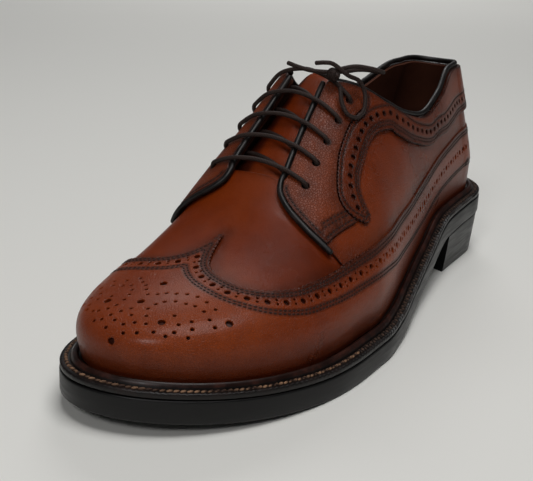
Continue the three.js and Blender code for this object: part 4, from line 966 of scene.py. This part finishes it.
def cut_leather(name, outline, holes, low, high, spacing, materials, replaces, slot, rows=(), shade_and_burnish=None,
                edge_from=None, round_off=0.45, openings=()):
    """A leather piece between two lifts of the last. low and high are functions of flat points. A second
    material is for its inner face and its edges."""
    outline = turned_left(outline)
    openings = [turned_left(loop) for loop in openings]
    holes = [turned_left(hole) for hole in holes]
    flat, triangles, label = flat_pattern(outline, holes, openings, rows, spacing, round_off)
    n, at_cut = len(flat), label >= 0
    top, normal = lay(flat, high(flat) - np.where(at_cut, EDGE_DROP, 0.0))
    bottom, _ = lay(flat, low(flat))
    directed = np.vstack([triangles[:, [0, 1]], triangles[:, [1, 2]], triangles[:, [2, 0]]])
    codes = directed[:, 0] * n + directed[:, 1]
    rim = directed[~np.isin(codes, directed[:, 1] * n + directed[:, 0])]
    wall = np.vstack([np.stack([rim[:, 0], rim[:, 0] + n, rim[:, 1] + n], -1),
                      np.stack([rim[:, 0], rim[:, 1] + n, rim[:, 1]], -1)])
    out_side = np.zeros((n, 3))
    out_dir = np.cross(top[rim[:, 1]] - top[rim[:, 0]], normal[rim[:, 0]])
    for k in (0, 1):
        np.add.at(out_side, rim[:, k], out_dir)
    out_side /= np.maximum(np.linalg.norm(out_side, axis=1, keepdims=True), 1e-9)
    top_normal = np.where(at_cut[:, None], normal * EDGE_LEAN[0] + out_side * EDGE_LEAN[1], normal)
    corners = np.vstack([top_normal[triangles.ravel()], -normal[triangles[:, ::-1].ravel()],
                         out_side[(wall % n).ravel()]])
    edge_mm = nearest(flat, np.vstack([outline, *openings, *holes] if edge_from is None else edge_from))
    seam_mm = nearest(flat, np.vstack([spaced(r, SEAM_STEP) for r in rows])) if rows else np.full(n, FAR)
    tone = shade_and_burnish(flat) if shade_and_burnish is not None else np.zeros(n)
    attributes = {key: np.concatenate([v, v]) for key, v in
                  (("edge_mm", edge_mm), ("seam_mm", seam_mm), ("shade_and_burnish", tone))}
    inner = len(materials) - 1
    slots = np.concatenate([np.zeros(len(triangles)), np.full(len(triangles) + len(wall), inner)])
    faces = np.vstack([triangles, triangles[:, ::-1] + n, wall])
    return piece(name, np.vstack([top, bottom]), faces, materials, replaces=replaces, slot=slot,
                 corners=corners, attributes=attributes, slots=slots)


def level(value):
    return lambda flat: np.full(len(flat), float(value))


def teeth(path, pitch, depth, closed=False):
    """A pinked edge: the path swings by a depth to its right and back, once in every pitch."""
    run = run_length(lay(np.vstack([path, path[:1]]) if closed else path)[0])
    even = spaced(path, run / (int(round(run / pitch)) * 4), closed, laid=True)
    swing = np.array([0.0, 0.62, 1.0, 0.62])[np.arange(len(even)) % 4] * depth
    return aside(even, -swing, closed)


def smoothed_loop(path, rounds):
    """A closed path with each point moved to the middle of its neighbours, a number of times."""
    path = np.array(path, float)
    for _ in range(rounds):
        path = 0.5 * path + 0.25 * (np.roll(path, 1, 0) + np.roll(path, -1, 0))
    return path


# %% Heights of the layers over the last
layer_low = base_outer + GAP
layer_top = layer_low + OVERLAY
facing_low_face = layer_top + GAP
WING_STEP, WING_STEP_RUN, BURNISH_FROM, BURNISH = 0.6, 16, 0.80, 0.8


def wing_step(station):
    """How much thicker the wing is beside the quarter than over the toe."""
    return WING_STEP * (1 - smooth(station, THROAT - WING_STEP_RUN, QUARTER_FRONT))


def wing_top_lift(flat):
    return layer_top + wing_step(from_heel(to_walk(flat)[0]))


def burnish(flat):
    """Darker towards the feather edge."""
    v, girth = to_walk(flat)
    return BURNISH * smooth(girth / np.interp(v, WALKS, whole_girth), BURNISH_FROM, 1.0)


# %% [markdown]
# ## The upper
# Vamp and quarters are one hollow shell, open at the collar and the throat and underneath. It is the
# leather that shows between the wing and the facings, and its lining shows through the collar.

# %% Upper shell
def eyelet_loops(radius, sides):
    return punched(np.array([[x, side * EYELET_ROW] for x in EYELETS for side in sides]), radius, 12)


UNDER_WING, SHELL_EYELET, LEATHER_EYELET = 1.2, 1.7, 1.65
feather_loop = to_flat(WALKS[:-1], whole_girth[:-1] - 0.05)
lateral_open = along_walk(opening, 0.0, THROAT)
medial_open = along_walk(opening, 2 * LENGTH - THROAT, 2 * LENGTH)
throat_bow = [THROAT, 0] + np.array([[.8, 13.8], [1.2, 9], [1.3, 0], [1.2, -9], [.8, -13.8]])
open_loop = np.vstack([lateral_open, throat_bow, medial_open[:-1]])
wing_edge_line = along_walk(wing_girth, 0, 2 * LENGTH)


# Painted shade: the shell is dark where the wing covers it, so the wing's punched holes show dark.
def painted_shade_under_wing(flat):
    v, girth = to_walk(flat)
    return np.where(girth > np.interp(v, WALKS, wing_girth) + UNDER_WING, 1.0, 0.0)


# The shell's edge darkening is measured from the wing's edge: painted shade beside and under the wing.
cut_leather("upper_shell", spaced(feather_loop, 3.0, True), eyelet_loops(SHELL_EYELET, (1, -1)),
            level(base_inner), level(base_outer), 3.0, [vamp_calf, lining_leather], ("upper",),
            "leather_calf", shade_and_burnish=painted_shade_under_wing, openings=[spaced(open_loop, 1.5, True)],
            edge_from=[wing_edge_line])

# %% [markdown]
# ## The long wing
# The toe cap and both side wings are cut in one, with a peak over the toe, and meet at the back. Its upper
# edge is pinked into small teeth. A band along it is broguing: a row of large holes with two small ones
# between each, and double rows of stitches on both sides. The toe carries a medallion of punched holes.

# %% Long wing
band_width = curve([0, 90, 150, 190, 230, 306], [20, 20, 16.5, 12.2, 11.2, 9.6])
LARGE_HOLE, SMALL_HOLE, LARGE_DOT, SMALL_DOT, HOLE_PITCH, PAIR_HALF = 1.25, 0.55, 1.42, 0.72, 7.9, 0.95
WING_TOOTH, WING_TOOTH_DEPTH = 2.3, 0.75
# the share of the band and the millimetres more that each line lies inside the wing's edge
HOLE_ROW, WING_ROWS = (0.5, 0.2), ((0, 1.5), (0, 2.9), (1, -1.4), (1, 0))
wing_loop = smoothed_loop(spaced(wing_edge_line[:-1], 0.8, True), 6)
wing_widths = band_width(from_heel(to_walk(wing_loop)[0]))
wing_loop_laid, _ = lay(wing_loop)


def band_line(share, plus):
    """A line along the wing's edge, a share of the band's width and some millimetres more inside it. Where
    the edge turns sharply the points that come too near to it are left out."""
    distance = share * wing_widths + plus
    line = over(wing_loop, distance)
    clear = nearest(lay(line)[0], wing_loop_laid) > distance * 0.93 - 0.05
    return smoothed_loop(spaced(line[clear], 0.8, True), 4)


hole_line = spaced(band_line(*HOLE_ROW), HOLE_PITCH, True, laid=True)
half_way = (np.roll(hole_line, -1, 0) - hole_line) * 0.5
square_on = np.stack([-half_way[:, 1], half_way[:, 0]], -1)
square_on *= PAIR_HALF / np.linalg.norm(half_way, axis=1, keepdims=True)
pair = np.vstack([hole_line + half_way + square_on, hole_line + half_way - square_on])

# the medallion's dots; those that the photo hides are mirrored about its axis
LARGE_DOTS = np.array([[269.2, -2.3], [284.2, 0.2], [288.5, -12.4], [290.6, 16.4], [275.6, 35.3],
                       [305.6, 4.6]])
SMALL_DOTS = np.array([
    [275.2, -13], [278.3, -9.9], [281.8, -7.9], [269.1, -13.9], [271.3, -10.8], [273, -7.7], [275.8, -4.9],
    [278.7, -1.5], [277, 1.8], [274.9, 4.3], [273.5, 8.1], [271.8, 12], [271.3, 16.7], [283.2, 6.7],
    [280.3, 8.3], [278, 11.7], [277.3, 16.2], [276.6, 20], [272.2, 22], [273.6, 27.3], [277.1, 24.7],
    [285.7, -6.6], [290, -6.3], [293.1, -7.6], [295.1, -10.5], [295.9, -3.4], [292.7, -1.4], [289.7, .7],
    [287, 6.4], [290.7, 9.2], [292.9, 4], [285.2, 17.7], [297.7, .4], [298.9, -5], [300.2, -7.9], [298.1, 5],
    [295.6, 8.2], [294.1, 12.2], [288, 22], [284, 24.7], [279.2, 29], [280.6, 32.6], [301.7, -.4],
    [301.2, 7.6], [298.9, 12.1], [295.6, 17], [294.6, 21.5], [291.6, 23], [286.6, 27.1], [290.2, 28]])
AXIS, HIDDEN_LARGE, HIDDEN_SMALL = 2.0, 20, 16.9
hidden_large = LARGE_DOTS[LARGE_DOTS[:, 1] > HIDDEN_LARGE] * [1, -1] + [0, 2 * AXIS]
hidden_small = SMALL_DOTS[SMALL_DOTS[:, 1] > HIDDEN_SMALL] * [1, -1] + [0, 2 * AXIS]
wing_holes = []
for places, radius, hole_sides in ((hole_line, LARGE_HOLE, 12), (LARGE_DOTS, LARGE_DOT, 12),
                                   (hidden_large, LARGE_DOT, 12), (pair, SMALL_HOLE, 8),
                                   (SMALL_DOTS, SMALL_DOT, 8), (hidden_small, SMALL_DOT, 8)):
    wing_holes += punched(places, radius, hole_sides)
print("holes in the wing:", len(wing_holes))
wing_rows = [np.vstack([line, line[:1]]) for line in (band_line(*row) for row in WING_ROWS)]
cut_leather("wing_leather", spaced(feather_loop, 2.5, True), wing_holes, level(layer_low), wing_top_lift, 2.1,
            [calf], ("long_wing",), "leather_calf", rows=wing_rows, shade_and_burnish=burnish,
            openings=[teeth(wing_loop, WING_TOOTH, WING_TOOTH_DEPTH, True)], edge_from=[wing_loop])

# %% [markdown]
# ## Quarters, facings and collar straps
# The quarters lie between the wing and the collar. A grained facing runs along the lacing. A strap goes
# round the collar and down beside the facing to a short tail: it is pinked on both edges, punched along
# its middle, and a little thicker than the facing. Where the facing's front meets the piping it is tucked
# against it, so no gap shows.

# %% Lines of the quarters, facings and straps, drawn for the outer side
PIPED_FRONT = np.array([[198.1, 12.8], [203, 14.6], [207, 21.2], [209, 31], [209.2, 38], [208.9, 44.6]])
FACING_FOOT = np.array([[206.6, 42.4], [202, 44.5], [194, 49.2], [187.8, 52.9]])
STRAP_FRONT = np.array([[139.8, 27.4], [142.6, 31], [146.4, 32.4], [151, 31.4], [157, 30.4], [164, 30.5],
                        [172, 31.9], [178, 34.4], [184, 37.6], [187.6, 41.2], [188.4, 46.5], [186.5, 52.3],
                        [182.6, 58]])
STRAP_BACK = np.array([[178.4, 58.7], [177.4, 54], [175.6, 48.8], [171.6, 45.6], [164.5, 43.9], [156, 42.8],
                       [150.9, 43.2], [144, 45.2]])
TACK_LINE = np.array([[203.6, 38.2], [196, 43.2], [189.8, 47.4]])
BOX_MIDDLE, BOX_HALF, BOX_TURN = [182.3, 55.0], 1.7, [[.8, .6], [-.6, .8]]
band_depth = curve([0, 48, 66, 82, 108, 134], [22, 24, 20, 15.5, 13.5, 15.5])

# where each line starts or ends: stations or walks in x, and girths in y
BAND_END, QUARTER_FOOT, LACING_TOP, COLLAR_END, FOOT_LIFT = 134, 206.9, 140.8, 139.2, 0.4
BEHIND_TO, FRONT_TO, FRONT_ROW_TO, FRONT_ROW_FROM = 52.2, 41.6, 39, 199
# how far inside their edges the rows of stitches lie
FOOT_ROW_IN, TACK_APART, FRONT_ROW_IN, STRAP_ROW_IN, BACK_ROW_IN, LOWER_ROW_IN = 1.4, 1.5, 1.6, 1.5, 2.9, 9.4
QUARTER_TUCK, FACING_LAP, STRAP_STEP = 1.3, 0.8, 0.35
STRAP_TOOTH, STRAP_TOOTH_DEPTH, STRAP_HOLE, STRAP_HOLE_PITCH, STRAP_HOLE_IN = 2.1, 0.6, 1.1, 5.3, 6.3


def clean(outline, side):
    """An outline without points on top of each other, kept on its own side of the centre line."""
    outline = outline[np.r_[True, np.linalg.norm(np.diff(outline, axis=0), axis=1) > 0.25]]
    outline[:, 1] = np.maximum(outline[:, 1] * side, 0.2) * side
    return outline


# %% Quarters, facings and collar straps
facing_rows, strap_rows = [], []
for side, word in ((1, "lateral"), (-1, "medial")):
    turn, seam = np.array([1, side]), 0.0 if side > 0 else 2 * LENGTH
    front = aside(rounded(PIPED_FRONT * turn, 1.1), QUARTER_TUCK * side)
    eyelets = eyelet_loops(LEATHER_EYELET, (side,))

    top_edge = along_walk(opening, seam, seam + side * (THROAT - 1))
    foot = along_walk(wing_girth - FOOT_LIFT, seam + side * QUARTER_FOOT, seam)
    cut_leather(f"quarter_leather_{word}", clean(np.vstack([top_edge, front, foot]), side), eyelets,
                level(layer_low), level(layer_top), 2.3, [calf], (f"quarter_{word}",), "leather_calf",
                round_off=0.4)

    walk = np.linspace(0, BAND_END, BAND_END + 1)
    at = np.where(walk < HEEL_CENTRE, Ribs(seam + side * walk).station(WELT_WIDTH), walk)
    collar_foot = to_flat(seam + side * walk, np.interp(seam + side * walk, WALKS, opening) + band_depth(at))
    strap_front = rounded(STRAP_FRONT * turn, 0.8)
    strap_back = eased(rounded(np.vstack([STRAP_BACK * turn, collar_foot[::-1]]), 0.8), 3)
    strap_edge = np.vstack([strap_front, strap_back])

    lacing = along_walk(opening, seam + side * LACING_TOP, seam + side * (THROAT - 1))
    behind = aside(strap_front, -FACING_LAP * side)[1:]
    behind = behind[np.abs(behind[:, 1]) < BEHIND_TO][::-1]
    facing_foot, tack = rounded(FACING_FOOT * turn, 0.8), rounded(TACK_LINE * turn, 0.8)
    facing = np.vstack([lacing, front[np.abs(front[:, 1]) < FRONT_TO], facing_foot, behind])
    front_row = front[(np.abs(front[:, 1]) < FRONT_ROW_TO) & (front[:, 0] > FRONT_ROW_FROM)]
    rows = [aside(facing_foot, FOOT_ROW_IN * side), tack, aside(tack, TACK_APART * side),
            aside(front_row, FRONT_ROW_IN * side)]
    facing_rows += rows
    cut_leather(f"facing_leather_{word}", clean(facing, side), eyelets, level(facing_low_face),
                level(facing_top_face), 1.8, [grained_calf], (f"facing_{word}",), "leather_grained",
                rows=rows, round_off=0.4)

    collar = along_walk(opening, seam, seam + side * COLLAR_END)
    strap = np.vstack([collar, teeth(strap_edge, STRAP_TOOTH, STRAP_TOOTH_DEPTH * side)])
    hole_row = spaced(aside(strap_back[3:], STRAP_HOLE_IN * side), STRAP_HOLE_PITCH, laid=True)[1:-1]
    square = np.array([[-1, -1], [1, -1], [1, 1], [-1, 1], [-1, -1]]) * BOX_HALF
    rows = [aside(strap_edge[3:], STRAP_ROW_IN * side), aside(strap_back[6:], BACK_ROW_IN * side),
            aside(strap_back[45:], LOWER_ROW_IN * side)]
    strap_rows += rows + [spaced((square @ BOX_TURN + BOX_MIDDLE) * turn, 0.85)]
    cut_leather(f"strap_leather_{word}", clean(strap, side), punched(hole_row, STRAP_HOLE, 10),
                level(facing_low_face), level(facing_top_face + STRAP_STEP), 1.8, [calf], (f"facing_{word}",),
                "leather_grained", rows=rows, round_off=0.4)

# %% [markdown]
# ## Tongue, binding and piping
# The tongue lies under the facings and runs in under the vamp. The collar is bound with a strip rolled over
# its edge, and a thicker dark piping goes down the facing and round the front of the quarter.

# %% Tongue
def tongue_top(flat):
    drop = TONGUE_DROP * (1 - smooth(flat[:, 0], THROAT - 3, THROAT + 6))
    return base_inner - TONGUE_GAP - drop


tongue_side = [[TONGUE_TOP, 17], [TONGUE_TOP + 1, 21.5], [TONGUE_TOP + 4, TONGUE_HALF], [170, TONGUE_HALF],
               [186, TONGUE_HALF], [196, 20.6], [TONGUE_ROOT, 18]]
tongue_line = rounded(tongue_side, 1.5)
# Painted shade: the tongue darkens towards its sides, where it runs under the facings.
cut_leather("tongue_leather", np.vstack([tongue_line, tongue_line[::-1] * [1, -1]]), [],
            lambda flat: tongue_top(flat) - TONGUE_THICKNESS, tongue_top, 2.2, [vamp_calf], ("tongue",),
            "leather_calf", shade_and_burnish=lambda flat: smooth(np.abs(flat[:, 1]), 6, 13), round_off=0.6)

# %% Collar binding and edge piping
BINDING_END, BINDING_RADIUS, PIPING_RADIUS, PIPING_SUNK = 4, 1.38, 1.3, 0.3
PIPING_STATIONS = (153, 173.5, 193)


def up_the_leather(v, girth, lift, up):
    """A point of the opening's edge, moved on over it by a length."""
    here, _ = on_last(v, girth, lift)
    below, _ = on_last(v, girth + 2, lift)
    down = below - here
    return here - down / np.linalg.norm(down, axis=1, keepdims=True) * up


outer_walks = np.linspace(FACING_TOP - BINDING_END, 0, 160)
binding_walks = np.concatenate([outer_walks, 2 * LENGTH - outer_walks[-2::-1]])
binding_path = up_the_leather(binding_walks, np.interp(binding_walks, WALKS, opening),
                              (facing_top_face + base_inner) / 2, BINDING + BINDING_GAP)
tubes("binding_leather", [spaced(eased(binding_path, 6), 1.2)], BINDING_RADIUS, edge_dressing, sides=14,
      replaces=("collar_binding",), slot="leather_edge")
for side, word in ((1, "lateral"), (-1, "medial")):
    inner = [[x, facing_half(x) - PIPING - GAP * 1.5] for x in PIPING_STATIONS]
    path, _ = lay(rounded(np.vstack([inner, PIPED_FRONT]) * [1, side], 0.9), PIPING - PIPING_SUNK)
    tubes(f"piping_leather_{word}", [path], PIPING_RADIUS, edge_dressing, sides=14,
          replaces=(f"edge_piping_{word}",), slot="leather_edge")


# %% [markdown]
# ## Stitches
# Each stitch is a short rounded bead that lies along its row and is half sunk in the leather. All the
# stitches of a piece are one mesh: one bead's points are turned and placed for every stitch at once.

# %% Stitches in rows
SUNK, STITCH_TILT, STITCH_HEIGHT, BEAD_CORNERS = 0.12, 0.12, 0.8, 6


def bead_shape():
    """A unit bead along its first axis: three rings and two tips."""
    turn = np.linspace(0, 2 * np.pi, BEAD_CORNERS, endpoint=False)
    rings = [np.stack([np.full(BEAD_CORNERS, a), r * np.cos(turn), r * np.sin(turn)], -1)
             for a, r in ((-.72, .75), (0, 1), (.72, .75))]
    points = np.vstack([[[-1, 0, 0]], *rings, [[1, 0, 0]]])
    faces = []
    for k in range(BEAD_CORNERS):
        m = (k + 1) % BEAD_CORNERS
        first, second, third = ((start + k, start + m) for start in 1 + BEAD_CORNERS * np.arange(3))
        faces += [[0, first[1], first[0]], [len(points) - 1, *third]]
        for (a, b), (c, d) in ((first, second), (second, third)):
            faces += [[a, b, d], [a, d, c]]
    return points, np.array(faces)


def beads(name, middles, along, normals, length, radius, material, tilt):
    """A bead at each middle, along its row, turned a little about the normal."""
    along = along / np.linalg.norm(along, axis=1, keepdims=True)
    across = np.cross(normals, along)
    across /= np.linalg.norm(across, axis=1, keepdims=True)
    along = along * math.cos(tilt) + across * math.sin(tilt)
    across = np.cross(normals, along)
    shape, faces = bead_shape()
    points = (middles[:, None] + shape[None, :, :1] * along[:, None] * length / 2
              + shape[None, :, 1:2] * across[:, None] * radius
              + shape[None, :, 2:] * normals[:, None] * radius * STITCH_HEIGHT).reshape(-1, 3)
    all_faces = (faces[None] + (np.arange(len(middles)) * len(shape))[:, None, None]).reshape(-1, 3)
    return piece(name, points, outward(points, all_faces), [material])


def stitch_rows(name, rows, face_of, pitch, length, radius):
    """Stitches along flat rows, at a pitch, a little sunk in the face they lie on."""
    middles, along, normals = [], [], []
    for row in rows:
        at = spaced(row, pitch, laid=True)
        point, normal = lay(at, face_of(at) - SUNK)
        middles.append(point[:-1] * 0.5 + point[1:] * 0.5)
        along.append(point[1:] - point[:-1])
        normals.append(normal[:-1])
    return beads(name, np.vstack(middles), np.vstack(along), np.vstack(normals), length, radius, dark_thread,
                 STITCH_TILT)


stitch_rows("wing_stitches", wing_rows, wing_top_lift, 2.0, 1.6, 0.46)
stitch_rows("facing_stitches", facing_rows, level(facing_top_face), 2.0, 1.6, 0.42)
stitch_rows("strap_stitches", strap_rows, level(facing_top_face + STRAP_STEP), 1.9, 1.5, 0.42)


# %% [markdown]
# ## Sole, welt and heel
# The outsole follows the last's outline, with a small round at its edges. The storm welt lies on it: a
# flat rim that is wheeled into fine ribs and sewn right round, and a bead raised against the upper.

# %% Plates on the sole's outline
sole_walks = np.concatenate([np.linspace(0, HEEL_CENTRE, 24, endpoint=False),
                             np.linspace(HEEL_CENTRE, TOE_CENTRE, 60, endpoint=False),
                             np.linspace(TOE_CENTRE, LENGTH, 49)])


def on_sole(ribs, inset, height):
    """Points inset from the sole's outline, at a height over its underside."""
    x, y = ribs.place(ribs.reach - inset)
    return np.stack([x, y, underside(x) + height], -1)


def plate(name, section, material, replaces, slot):
    """A plate from rings of inset and height over the underside: rings right round, and strips across the
    first and the last of them."""
    right_ribs, left_ribs = Ribs(sole_walks), Ribs(2 * LENGTH - sole_walks)
    rings = [np.vstack([on_sole(right_ribs, *step), on_sole(left_ribs, *step)[-2:0:-1]]) for step in section]
    points, count, last = np.vstack(rings), len(rings[0]), (len(rings) - 1) * len(rings[0])
    right = np.arange(len(sole_walks))
    left = (count - right) % count
    strips = np.stack([right[1:-2], right[2:-1], left[2:-1], left[1:-2]], -1)
    tips = np.array([[right[0], right[1], left[1]], [right[-2], right[-1], left[-2]]])
    faces = np.vstack([grid_faces(len(rings), count, round_columns=True), strips, strips[:, ::-1] + last])
    triangles = np.vstack([faces[:, [0, 1, 2]], faces[:, [0, 2, 3]], tips, tips[:, ::-1] + last])
    return piece(name, points, outward(points, triangles), [material], replaces=replaces, slot=slot, sharp=50)


plate("sole_leather",
      [(EDGE_ROUND, 0), (.55, .12), (.16, .5), (0, EDGE_ROUND), (0, SOLE_THICKNESS - 1.0),
       (.12, SOLE_THICKNESS - .5), (.34, SOLE_THICKNESS - .2), (.9, SOLE_THICKNESS)],
      sole_ink, ("outsole",), "sole_black")
INSOLE, INSOLE_ROUND = 3.0, 0.4
welt_low = SOLE_THICKNESS + GAP
welt_top = welt_low + WELT_THICKNESS
insole_low = welt_top + GAP
foot_inset, insole_inset = WELT_WIDTH + WELT_UNDERLAP + GAP, WELT_WIDTH - base_inner + 1
plate("insole_leather",
      [(foot_inset, welt_low), (foot_inset, insole_low), (insole_inset, insole_low),
       (insole_inset, insole_low + INSOLE - INSOLE_ROUND), (insole_inset + .5, insole_low + INSOLE)],
      insole_leather, ("insole",), "insole_leather")

# %% Storm welt, wheeled and sewn
WHEEL_PITCH, WHEEL_FRONT, WHEEL_SIDES, WHEEL_FADE = 2.4, 0.42, 0.85, (80, 130)
WELT_STITCH, STITCH_SHARE, STITCH_IN, STITCH_UP, FRONT_FROM = 2.9, 0.52, 0.35, 0.06, 215
BEAD_POINTS, BEAD_FROM, BEAD_ARC = 9, 0.08, 0.78
welt_walks = spaced(np.array([[0.0], [2 * LENGTH]]), 0.62)[:-1, 0]
welt_ribs = Ribs(welt_walks)
bead_rise = np.clip(BEAD_HEIGHT / welt_ribs.belly, 0, 1)
bead_out = welt_ribs.bulge * np.sin(bead_rise * np.pi / 2) ** TUCK
at_station = np.where(welt_ribs.angle == np.pi / 2, welt_ribs.centre, welt_ribs.station(WELT_WIDTH))
bead_inset = WELT_WIDTH - bead_out - layer_top - wing_step(at_station) - BEAD_GAP
bead_outer = bead_inset - BEAD_WIDTH
rim_x, rim_y = welt_ribs.place(welt_ribs.reach)
rim_run = np.concatenate([[0], np.cumsum(np.hypot(np.diff(rim_x), np.diff(rim_y)))])
mark = 0.5 - 0.5 * np.cos(2 * np.pi * rim_run / WHEEL_PITCH)
notch = mix(WHEEL_FRONT, WHEEL_SIDES, smooth(np.abs(welt_walks - LENGTH), *WHEEL_FADE)) * mark ** 2

# the section, inset and height: up the outer edge, over the wheeled rim, over the bead and back below
section = [(.66, welt_low), (.26, welt_low + .3), (.22, welt_top - .55 - notch * .4),
           (.5, welt_top - .16 - notch), (.95, welt_top - notch), (1.7, welt_top - notch * .5),
           (bead_outer - .9, welt_top - .06), (bead_outer - .2, welt_top - .12)]
bead_first = len(section)
for t in np.linspace(0, 1, BEAD_POINTS):
    section.append((bead_outer + .15 + t * (BEAD_WIDTH - .25),
                    welt_top - .1 + BEAD_HEIGHT * np.sin(np.pi * (BEAD_FROM + BEAD_ARC * t)) ** .7))
section += [(bead_inset, welt_top + .2), (WELT_WIDTH + WELT_UNDERLAP, welt_top),
            (WELT_WIDTH + WELT_UNDERLAP, welt_low)]
welt_points = np.stack([on_sole(welt_ribs, *step) for step in section], 1).reshape(-1, 3)
welt_faces = grid_faces(len(welt_walks), len(section), True, True)
of_section = welt_faces % len(section)
on_bead = ((of_section >= bead_first) & (of_section <= bead_first + BEAD_POINTS)).all(1)
piece("welt_leather", welt_points, outward(welt_points, welt_faces), [welt_wax, bead_wax],
      replaces=("storm_welt",), slot="welt_leather", sharp=60, slots=on_bead.astype(int))

stitch_walks = spaced(np.stack([rim_run, welt_walks], -1), WELT_STITCH)[:, 1]
stitch_inset = np.interp(stitch_walks, welt_walks, bead_outer) * STITCH_SHARE + STITCH_IN
line = on_sole(Ribs(stitch_walks), stitch_inset, welt_top + STITCH_UP)
middles, along = line[:-1] * .5 + line[1:] * .5, line[1:] - line[:-1]
up = np.tile([0.0, 0.0, 1.0], (len(middles), 1))
in_front = np.abs(stitch_walks - LENGTH)[:-1] < LENGTH - FRONT_FROM
# front stitches in the worn and lit copy of the thread, with its painted highlight; the sides in the darker one
for name, of, length, radius, thread, tilt in (
        ("welt_stitches_front", in_front, 2.7, 0.66, worn_and_lit_thread, 0.42),
        ("welt_stitches_sides", ~in_front, 2.8, 0.72, side_thread, 1.0)):
    beads(name, middles[of], along[of], up[of], length, radius, thread, tilt)

# %% [markdown]
# The heel is one black block: the outline's back end, a little narrower at the floor, closed in front by
# a hollow breast.

# %% Heel
HEEL_ROWS, HEEL_COLUMNS, BREAST_FROM = 40, 14, 0.6


def heel_layer(share, inset):
    """A grid over the heel at a share of its height: rows from the back to the breast."""
    s = np.linspace(0, 1, HEEL_ROWS + 1)
    at = HEEL_LENGTH * s * s * (1.5 - 0.5 * s)
    turn = np.arccos(np.clip((at - HEEL_CENTRE) / HEEL_CENTRE, -1, 0))
    walk = np.where(at < HEEL_CENTRE, HEEL_CENTRE * (1 - (turn - np.pi / 2) / (np.pi / 2)), at)
    both = (Ribs(walk), Ribs(2 * LENGTH - walk))
    right, left = (np.stack(ribs.place(ribs.reach - inset), -1) for ribs in both)
    j = np.linspace(0, 1, HEEL_COLUMNS + 1)[None, :, None]
    xy = right[:, None] * (1 - j) + left[:, None] * j
    middle = 1 - (2 * j[..., 0] - 1) ** 2
    x = xy[..., 0] - HEEL_HOLLOW * middle * smooth(at, HEEL_LENGTH * BREAST_FROM, HEEL_LENGTH)[:, None]
    return np.stack([x, xy[..., 1], (underside(x) - GAP) * share], -1).reshape(-1, 3)


heel_shares = [(0, 3.3), (.012, 2.85), (.05, 2.7), (.35, 2.0), (.65, 1.35), (.93, .75), (.985, .62), (1, .9)]
layers = [heel_layer(share, inset) for share, inset in heel_shares]
ids = np.arange(len(layers[0])).reshape(HEEL_ROWS + 1, HEEL_COLUMNS + 1)
rim = np.concatenate([ids[:, 0], ids[-1, 1:], ids[-2:0:-1, -1]])
rings = [layer[rim] for layer in layers[1:-1]]
heel_points = np.vstack([layers[0], layers[-1], *rings])
count = len(layers[0])
ring_ids = [rim] + [2 * count + k * len(rim) + np.arange(len(rim)) for k in range(len(rings))] + [rim + count]
heel_grid = grid_faces(*ids.shape)
quads = np.vstack([heel_grid, heel_grid[:, ::-1] + count]
                  + [np.stack([a, b, np.roll(b, -1), np.roll(a, -1)], -1)
                     for a, b in zip(ring_ids[:-1], ring_ids[1:])])

# points in the same place become one, and faces that have no area then are left out
key = np.round(heel_points * 1000).astype(np.int64)
_, first_at, same_as = np.unique(key, axis=0, return_index=True, return_inverse=True)
heel_points, quads = heel_points[first_at], same_as.reshape(-1)[quads]
tri = np.vstack([quads[:, [0, 1, 2]], quads[:, [0, 2, 3]]])
tri = tri[(tri[:, 0] != tri[:, 1]) & (tri[:, 1] != tri[:, 2]) & (tri[:, 2] != tri[:, 0])]
piece("heel_block", heel_points, outward(heel_points, tri), [heel_ink], replaces=("heel",), slot="sole_black",
      sharp=50)

# %% [markdown]
# ## Floor and light
# A plain pale floor and soft studio light: a wide lamp overhead, one over the floor behind, a weaker one in
# front, and a faint light from all round.

# %% Floor, lamps and world
FLOOR_HALF, ROOM_LIGHT = 6, 0.07
floor_mesh = bpy.data.meshes.new("floor")
floor_mesh.from_pydata([(x * FLOOR_HALF, y * FLOOR_HALF, 0) for x, y in ((-1, -1), (1, -1), (1, 1), (-1, 1))],
                       [], [(0, 1, 2, 3)])
floor = bpy.data.objects.new("floor", floor_mesh)
bpy.context.scene.collection.objects.link(floor)
floor_mesh.materials.append(finish("pale_floor", "#e6e5e0", 0.65)[0])


def lamp(name, place, target, size, power):
    data = bpy.data.lights.new(name, "AREA")
    data.shape, data.size, data.energy = "DISK", size, power
    obj = bpy.data.objects.new(name, data)
    obj.location = place
    obj.rotation_mode = "QUATERNION"
    obj.rotation_quaternion = (Vector(target) - Vector(place)).to_track_quat("-Z", "Y")
    bpy.context.scene.collection.objects.link(obj)


lamp("overhead", (0.10, 0.30, 1.7), (0.0, 0.0, 0.05), 1.1, 16.5)
lamp("backdrop", (-2.1, -1.2, 1.9), (-2.3, -1.3, 0.0), 1.4, 28)
lamp("front", (1.20, 0.26, 0.98), (0.12, 0.0, 0.03), 0.36, 4.6)
world = bpy.data.worlds.new("soft_room")
bpy.context.scene.world = world
world.use_nodes = True
background = world.node_tree.nodes["Background"]
background.inputs["Color"].default_value = linear("#dfe3e6")
background.inputs["Strength"].default_value = ROOM_LIGHT
bpy.context.scene.view_settings.view_transform = "Standard"
